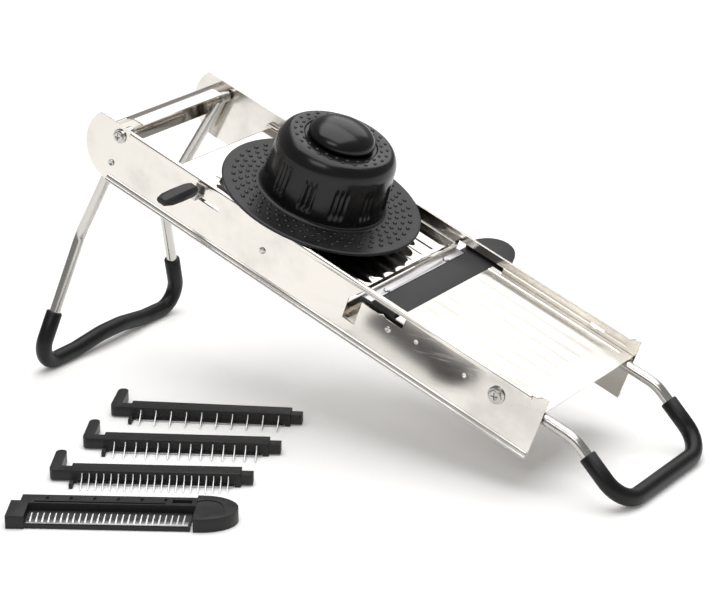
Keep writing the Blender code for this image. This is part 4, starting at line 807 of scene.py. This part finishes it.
def wireLoop(name, path, pivot):
    sides = legSizes["sides"]
    wire = loftRings(name, [ringRound(spot, legSizes["wire"], sides) for spot in pathFrames(path)])
    parts = [smoothBy(wire)]
    for side in (-1, 1):
        reach, edge = legSizes["eye"], legSizes["eye"] - 0.0005
        low = side * wireSide - reach
        eye = turned("eye", [(legSizes["bore"], 0.0), (edge, 0.0), (reach, 0.0005), (reach, 2 * reach - 0.0005),
                             (edge, 2 * reach), (legSizes["bore"], 2 * reach)], 32, ringed=True)
        parts.append(smoothBy(pointTo(eye, (0.0, 1.0, 0.0), (pivot[0], low, pivot[1]))))
    return paint(inBody(joined(name, parts)), materials["wireSteel"])


def crossing(first, second, axis, limit):
    share = (limit - first[0][axis]) / (second[0][axis] - first[0][axis])
    return first[0].lerp(second[0], share), second[1], second[2]


def rubberSleeve(name, path, axis, limit, sign):
    # Thick tube over the loop's foot, its cut ends slightly rounded.
    frames = pathFrames(path)
    inside = [index for index, spot in enumerate(frames) if (spot[0][axis] - limit) * sign > 0.0]
    first, last = inside[0], inside[-1]
    spots = [crossing(frames[first - 1], frames[first], axis, limit)] + frames[first:last + 1]
    spots.append(crossing(frames[last + 1], frames[last], axis, limit))
    radius, bore, sides = legSizes["cover"], legSizes["wire"] + 0.0003, legSizes["sides"]
    start, end = spots[0], spots[-1]
    startIn = (start[0] + start[1] * 0.0007, start[1], start[2])
    endIn = (end[0] - end[1] * 0.0007, end[1], end[2])
    rings = [ringRound(start, radius - 0.0007, sides), ringRound(startIn, radius, sides)]
    rings += [ringRound(spot, radius, sides) for spot in spots[1:-1]]
    rings += [ringRound(endIn, radius, sides), ringRound(end, radius - 0.0007, sides)]
    rings += [ringRound(spot, bore, sides) for spot in reversed(spots)]
    return paint(inBody(smoothBy(loftRings(name, rings, closed=True), 50.0)), materials["sleeveRubber"])


def tallLegPath():
    leg = legSizes
    spread = halfWidth + leg["footSpread"]
    rest = heightToDepth(leg["footStation"], sleeveFlat)
    arch = heightToDepth(leg["footStation"], sleeveFlat + leg["arch"])
    corners = [(pivots["tallLeg"][0], wireSide, pivots["tallLeg"][1]),
               (leg["knee"][0], wireSide - leg["kneeInset"], leg["knee"][1]),
               (leg["footStation"], spread, rest - 0.0006), (leg["footStation"], spread - 0.045, rest + 0.0002),
               (leg["footStation"], 0.012, arch), (leg["footStation"], 0.0, arch)]
    return wholeLoop(corners, (0.020, 0.016, 0.030, 0.060))


def shortFootPath():
    leg = legSizes
    station = bodySizes["length"] + leg["footReach"]
    bar = heightToDepth(station, sleeveFlat)
    corners = [(pivots["shortFoot"][0], wireSide, pivots["shortFoot"][1]),
               (bodySizes["length"] + leg["footStraight"], wireSide, pivots["shortFoot"][1]),
               (station, wireSide, bar), (station, 0.0, bar)]
    return wholeLoop(corners, (0.030, 0.020))


tallPath, shortPath = tallLegPath(), shortFootPath()
fit(wireLoop("tallLegWire", tallPath, pivots["tallLeg"]), "tall_leg", "polished_steel", "tall_leg_wire")
fit(wireLoop("shortFootWire", shortPath, pivots["shortFoot"]), "short_foot", "polished_steel", "short_foot_wire")
sleeveTop = heightToDepth(legSizes["footStation"], legSizes["sleeveHeight"])
fit(rubberSleeve("tallLegSleeve", tallPath, 2, sleeveTop, -1), "tall_leg", "black_rubber", "tall_leg_sleeve")
sleeveStart = bodySizes["length"] + legSizes["shortSleeve"]
fit(rubberSleeve("shortFootSleeve", shortPath, 0, sleeveStart, 1), "short_foot", "black_rubber",
    "short_foot_sleeve")
print("legs done")

# ---- hand guard, knob and plunger

guardSizes = {
    "station": 0.162, "brim": 0.073, "brimSheet": 0.0026, "cupBase": 0.0452, "cupTop": 0.0432,
    "ring": 0.0356, "shoulder": 0.0115, "height": 0.0490, "wall": 0.0024, "lift": 0.0003,
    "fluteDepth": 0.0011, "fluteGroups": 12, "flutePitch": 0.32, "fluteHalf": 0.14,
    "runnerDepth": 0.0070, "runner": 0.0018, "knobRadius": 0.0240, "knobHeight": 0.0130,
    "gripRadius": 0.0350, "gripHeight": 0.0060, "gripSheet": 0.0030, "stem": 0.0045,
}


def onGuard(piece):  # from the guard's own axis to its place on the body
    piece.data.transform(Matrix.Translation((guardSizes["station"], 0.0, 0.0)))
    return inBody(piece)


def fluteShift(turn, height):
    # Groups of three narrow upright flutes pressed into the cup's outer wall.
    g = guardSizes
    group = turn * g["fluteGroups"] / math.tau
    local = (group - math.floor(group) - 0.5) * 2.0
    away = min(abs(local - place) for place in (-g["flutePitch"], 0.0, g["flutePitch"])) / g["fluteHalf"]
    if away >= 1.0:
        return 0.0
    base, top = g["brimSheet"] + 0.006, g["height"] * 0.70
    rise = max(0.0, min(1.0, (height - base) / 0.005)) * max(0.0, min(1.0, (top - height) / 0.007))
    return -g["fluteDepth"] * (1.0 - away * away) * rise * rise * (3 - 2 * rise)


def handGuard():
    g = guardSizes
    low, top = g["lift"], g["lift"] + g["brimSheet"]
    brim, base, knob = g["brim"], g["cupBase"], g["knobRadius"]
    profile = [(brim - 0.0011, low), (brim - 0.0003, low + 0.0004), (brim, low + 0.0012),
               (brim - 0.0002, top - 0.0005), (brim - 0.0009, top - 0.0001), (brim - 0.0022, top - 0.0002),
               (base + 0.0030, top), (base + 0.0012, top + 0.0003), (base + 0.0002, top + 0.0012)]
    outer, rows, footRise = [], 34, 0.0022
    wallTop = g["height"] - g["shoulder"]
    for row in range(rows + 1):
        share = row / rows
        height = top + footRise + (wallTop - top - footRise) * share
        outer.append((base + (g["cupTop"] - base) * share, height))
    profile += outer
    for turn in [math.pi / 2 * step / 16 for step in range(1, 17)]:
        reach = g["ring"] + (g["cupTop"] - g["ring"]) * math.cos(turn) ** 1.15
        profile.append((reach, wallTop + g["shoulder"] * math.sin(turn) ** 1.15))
    well = g["height"] - 0.0010
    profile += [(knob + 0.0032, g["height"]), (knob + 0.0024, g["height"] - 0.0003), (knob + 0.0018, well),
                (g["stem"] + 0.0005, well), (g["stem"] + 0.0005, well - g["wall"]),
                (g["ring"] + 0.0004, well - g["wall"]), (g["cupTop"] - g["wall"], wallTop - 0.0015),
                (base - g["wall"], top), (base - g["wall"], low)]
    lowest, highest = outer[0][1], outer[-1][1]

    def onlyOutside(turn, radius, height):
        wall = radius > g["cupTop"] - 0.0001 and lowest <= height <= highest and radius < g["cupBase"] + 0.0001
        inside = radius <= g["cupBase"] - g["wall"] + 1e-6 and height <= top + 1e-6
        return fluteShift(turn, height) if wall and not inside else 0.0
    shell = smoothBy(turned("shell", profile, 480, ringed=True, shift=onlyOutside), 40.0)
    parts = [paint(shell, materials["guardPlastic"])]
    shell.data.materials.append(materials["brimPlastic"])
    for face in shell.data.polygons:
        middle = face.center
        flat = math.hypot(middle.x, middle.y) > g["cupBase"] + 0.0008 and middle.z < top + 0.0008
        face.material_index = 1 if flat else 0
    for side in (-1, 1):
        outside = halfInner - 0.0005
        near, far = sorted((side * (outside - g["runner"]), side * outside))
        reach = math.sqrt(g["brim"] ** 2 - outside ** 2) - 0.002
        outline = [(-reach, -g["runnerDepth"] + 0.004), (-reach + 0.005, -g["runnerDepth"]),
                   (reach - 0.005, -g["runnerDepth"]), (reach, -g["runnerDepth"] + 0.004), (reach, 0.0012),
                   (-reach, 0.0012)]
        runner = roundEdges(slab("runner", outline, near, far, "Y"), 0.0004)
        parts.append(paint(runner, materials["brimPlastic"]))
    pips = {"brimPips": {"Rings": 4, "Pips In Ring": 42, "First Radius": 0.0500, "Ring Pitch": 0.0049,
                         "Pip Size": (0.0016, 0.0019, 0.0008), "Height": top - 0.0001},
            "topPips": {"Rings": 2, "Pips In Ring": 24, "First Radius": 0.0291, "Ring Pitch": 0.0042,
                        "Pip Size": (0.0012, 0.0016, 0.0007), "Height": g["height"]}}
    # The pips take the cup's darker, glossier plastic. On the brim this is painted shade, so the raised pips read
    # as shaded recesses.
    for name, values in pips.items():
        parts.append(growMesh(name, pipTree, {**values, "Finish": materials["guardPlastic"]}))
    return onGuard(joined("handGuard", parts))


def plungerKnob():
    g = guardSizes
    low = g["height"] + 0.0003
    profile = [(0.0, low), (g["knobRadius"] - 0.0012, low), (g["knobRadius"] - 0.0004, low + 0.0003)]
    domeHeight = g["knobHeight"] - 0.0010
    profile += [(g["knobRadius"] * math.cos(turn) ** 0.92, low + 0.0010 + domeHeight * math.sin(turn))
                for turn in [math.pi / 2 * step / 28 for step in range(28)]]
    profile.append((0.0, low + g["knobHeight"]))
    knob = smoothBy(turned("plungerKnob", profile, 128), 60.0)
    return paint(onGuard(knob), materials["guardPlastic"])


def gripperDisc():
    g = guardSizes
    low, top = g["gripHeight"], g["gripHeight"] + g["gripSheet"]
    disc = turned("disc", [(0.0, low), (g["gripRadius"] - 0.0006, low), (g["gripRadius"], low + 0.0006),
                           (g["gripRadius"], top - 0.0006), (g["gripRadius"] - 0.0006, top), (0.0, top)], 96)
    parts = [smoothBy(disc)]
    for index in range(10):
        turn = math.tau * index / 10
        reach = g["gripRadius"] * (0.78 if index % 2 else 0.45)
        prong = turned("prong", [(0.0, 0.0), (0.0014, 0.0), (0.0013, 0.0050), (0.0006, 0.0090), (0.0002, 0.0108),
                                 (0.0, 0.0110)], 16)
        spot = (reach * math.cos(turn), reach * math.sin(turn), low + g["gripSheet"] / 2)
        parts.append(smoothBy(pointTo(prong, (0.0, 0.0, -1.0), spot), 50.0))
    return paint(onGuard(joined("gripperDisc", parts)), materials["brimPlastic"])


fit(handGuard(), "guard", "charcoal_plastic", "hand_guard")
fit(plungerKnob(), "plunger", "charcoal_plastic", "plunger_knob")
fit(gripperDisc(), "plunger", "charcoal_plastic", "gripper_disc")
stemPiece = roundEdges(copyOfNode("plunger_stem", "plungerStem"), 0.0003)
fit(paint(smoothBy(stemPiece, 40.0), materials["brimPlastic"]), "plunger", "charcoal_plastic", "plunger_stem")
gripPiece = roundEdges(copyOfNode("thickness_lever_grip", "leverGrip"), 0.0007, 3, 20.0)
fit(paint(gripPiece, materials["combPlastic"]), "lever", "charcoal_plastic", "thickness_lever_grip")
print("guard and plunger done")

# ---- loose julienne combs and the comb tray

combSizes = {"length": 0.114, "height": 0.0095, "reach": 0.0110, "fin": 0.0007, "end": 0.008,
             "stripInset": 0.0046, "gap": 0.0003}
combSets = {"coarse": {"fins": 10, "angle": 27.6}, "medium": {"fins": 14, "angle": 29.9},
            "fine": {"fins": 21, "angle": 30.8}}
traySizes = {"length": 0.108, "floor": 0.0030, "height": 0.0085, "teeth": 26, "angle": 31.2, "gap": 0.0003}


def placeFor(angle, node, corner):
    # Finds a loose piece's own frame, turned by its angle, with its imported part's lowest
    # own X, Y and Z at corner.
    turn = Matrix.Rotation(math.radians(angle), 4, "Z")
    back = turn.inverted()
    own = [back @ vertex.co for vertex in frame["nodes"][node].data.vertices]
    low = Vector([min(point[axis] for point in own) for axis in range(3)])
    return Matrix.Translation(turn @ (low - Vector(corner))) @ turn


def rowOf(name, shape, count, first, step, finish=None):  # uses the shape up
    values = {"Shape": shape, "Count": count, "First Place": first, "Step": (step, 0.0, 0.0)}
    if finish:
        values["Finish"] = finish
    row = growMesh(name, rowTree, values)
    bpy.data.objects.remove(shape, do_unlink=True)
    return row


def combFin():
    thick, height, reach = combSizes["fin"] / 2, combSizes["height"], combSizes["reach"]
    rings = []
    for offset, inset in ((-thick, 0.00015), (-thick * 0.4, 0.0), (thick * 0.4, 0.0), (thick, 0.00015)):
        rings.append([(offset, 0.0012, height * 0.84 - inset), (offset, -0.0006, height * 0.84 - inset),
                      (offset, -0.0022, height * 0.60), (offset, -reach + inset * 3, 0.0006),
                      (offset, -reach * 0.9, 0.0004), (offset, 0.0012, 0.0004)])
    return smoothBy(loftRings("combFin", rings), 30.0)


def combPieces(label, sizes):
    inset, gap, end = combSizes["stripInset"], combSizes["gap"], combSizes["end"]
    place = placeFor(sizes["angle"], label + "_comb_teeth", (inset, -combSizes["reach"], gap))
    bar = copyOfNode(label + "_comb_bar", label + "CombBar")
    bar.data.transform(place.inverted())
    span = combSizes["length"] - 2 * end
    step = span / (sizes["fins"] - 1)
    pocketShape = blockOf("pocketShape", (-step * 0.34, -0.002, 0.0022),
                          (step * 0.34, 0.0013, combSizes["height"] * 0.80))
    pockets = rowOf("pockets", pocketShape, sizes["fins"] - 1, (end + step / 2, 0.0, 0.0), step)
    cutWith(bar, [pockets])
    roundEdges(bar, 0.0003)
    bar.data.transform(place)
    fit(paint(bar, materials["combPlastic"]), label + "_comb", "charcoal_plastic", label + "_comb_bar")
    fins = rowOf("fins", combFin(), sizes["fins"], (end, 0.0, 0.0), step, materials["bladeSteel"])
    strip = blockOf("strip", (inset, -0.0016, gap), (combSizes["length"] - inset, 0.0056, 0.0012))
    roundEdges(strip, 0.0002)
    teeth = joined(label + "CombTeeth", [paint(strip, materials["bladeSteel"]), fins])
    teeth.data.transform(place)
    fit(teeth, label + "_comb", "satin_steel", label + "_comb_teeth")


for label, sizes in combSets.items():
    combPieces(label, sizes)
print("combs done")


def trayTooth():
    # A leaning flat tooth that narrows to a slanted point.
    levels = ((0.0002, 0.0012, 0.00055, 0.0010, 0.0), (0.0030, 0.0032, 0.00050, 0.0009, 0.0006),
              (0.0046, 0.0050, 0.00035, 0.0007, 0.0010), (0.0053, 0.0060, 0.00015, 0.0004, 0.0012))
    rings = []
    for rise, forward, wide, deep, lean in levels:
        left, right, back = lean - wide, lean + wide, forward + deep
        rings.append([(left, forward, rise), (right, forward, rise), (right, back, rise), (left, back, rise)])
    return loftRings("trayTooth", rings)


def combTray():
    low, railTop, length = traySizes["floor"] + traySizes["gap"], traySizes["height"], traySizes["length"]
    place = placeFor(traySizes["angle"], "holder_teeth", (0.002, 0.0005, low))
    tray = copyOfNode("comb_holder", "combTray")
    tray.data.transform(place.inverted())
    notchShape = blockOf("notchShape", (-0.0010, 0.026, railTop - 0.0012), (0.0010, 0.031, railTop + 0.002))
    cutWith(tray, [rowOf("notches", notchShape, 6, (0.012, 0.0, 0.0), 0.0155)])
    channel = blockOf("channel", (0.004, 0.0225, railTop - 0.0010), (length - 0.018, 0.0245, railTop + 0.003))
    cutWith(tray, [channel])
    thumb = turned("thumb", [(0.0, 0.0), (0.0115, 0.0), (0.0115, 0.004), (0.0, 0.004)], 40)
    thumb.data.transform(Matrix.Translation((length + 0.009, 0.0175, railTop + 0.0001)))
    cutWith(tray, [thumb])
    roundEdges(tray, 0.0004)
    tray.data.transform(place)
    fit(paint(tray, materials["combPlastic"]), "holder", "charcoal_plastic", "comb_holder")
    step = (length - 0.009) / (traySizes["teeth"] - 1)
    row = rowOf("row", trayTooth(), traySizes["teeth"], (0.0045, 0.0, low), step, materials["bladeSteel"])
    strip = roundEdges(blockOf("strip", (0.002, 0.0005, low), (length - 0.001, 0.0065, low + 0.0008)), 0.0002)
    teeth = joined("trayTeeth", [paint(strip, materials["bladeSteel"]), row])
    teeth.data.transform(place)
    fit(teeth, "holder", "satin_steel", "holder_teeth")


combTray()
print("tray done")

for nodeName in ("blade_rivet_near", "blade_rivet_far"):
    paint(frame["nodes"][nodeName], materials["bladeSteel"])

# ---- stage, light and camera

stageLook = {"floorColour": (0.93, 0.927, 0.92), "floorGlow": 0.10, "floorReach": 4.0, "floorDrop": 0.0002,
             "world": (0.30, 0.297, 0.293)}
reach, low = stageLook["floorReach"], -stageLook["floorDrop"]
floorCorners = [(-reach, -reach, low), (reach, -reach, low), (reach, reach, low), (-reach, reach, low)]
floor = meshPiece("floor", floorCorners, [(0, 1, 2, 3)])
floorMaterial = bpy.data.materials.new("paleFloor")
floorMaterial.use_nodes = True
floorInputs = floorMaterial.node_tree.nodes["Principled BSDF"].inputs
floorLook = {"Base Color": (*stageLook["floorColour"], 1.0), "Roughness": 0.9, "Specular IOR Level": 0.1,
             "Emission Color": (1.0, 0.995, 0.985, 1.0), "Emission Strength": stageLook["floorGlow"]}
for label, value in floorLook.items():
    floorInputs[label].default_value = value
paint(floor, floorMaterial)

world = bpy.data.worlds.new("studio")
bpy.context.scene.world = world
world.use_nodes = True
world.node_tree.nodes["Background"].inputs["Color"].default_value = (*stageLook["world"], 1.0)

lamps = {
    "topSoft": {"place": (0.0, 0.3, 2.3), "aim": (0.0, 0.3, 0.0), "size": (2.6, 2.6), "power": 56.0},
    "backSoft": {"place": (-0.45, 2.5, 2.0), "aim": (0.0, 0.10, 0.1), "size": (2.4, 1.5), "power": 17.0},
    "frontSoft": {"place": (0.6, -2.4, 2.2), "aim": (0.0, -0.2, 0.0), "size": (1.6, 1.0), "power": 16.0},
}
for name, lamp in lamps.items():
    light = bpy.data.lights.new(name, "AREA")
    light.shape = "RECTANGLE"
    light.size, light.size_y = lamp["size"]
    light.energy = lamp["power"]
    holder = bpy.data.objects.new(name, light)
    bpy.context.scene.collection.objects.link(holder)
    holder.location = lamp["place"]
    holder.rotation_euler = (Vector(lamp["aim"]) - Vector(lamp["place"])).to_track_quat("-Z", "Y").to_euler()

view = {"lens": 134.24, "azimuth": 34.018, "elevation": 20.487, "distance": 1.8704,
        "target": (-0.0117, 0.10058, 0.07594)}
cameraData = bpy.data.cameras.new("camera")
cameraData.lens = view["lens"]
camera = bpy.data.objects.new("camera", cameraData)
bpy.context.scene.collection.objects.link(camera)
azimuth, elevation = math.radians(view["azimuth"]), math.radians(view["elevation"])
flat = math.cos(elevation)
back = Vector((math.sin(azimuth) * flat, -math.cos(azimuth) * flat, math.sin(elevation)))
camera.location = Vector(view["target"]) + back * view["distance"]
camera.rotation_euler = (-back).to_track_quat("-Z", "Y").to_euler()
cameraData.clip_end = 20.0
bpy.context.scene.camera = camera
bpy.context.scene.view_settings.view_transform = "Standard"
print("stage set")
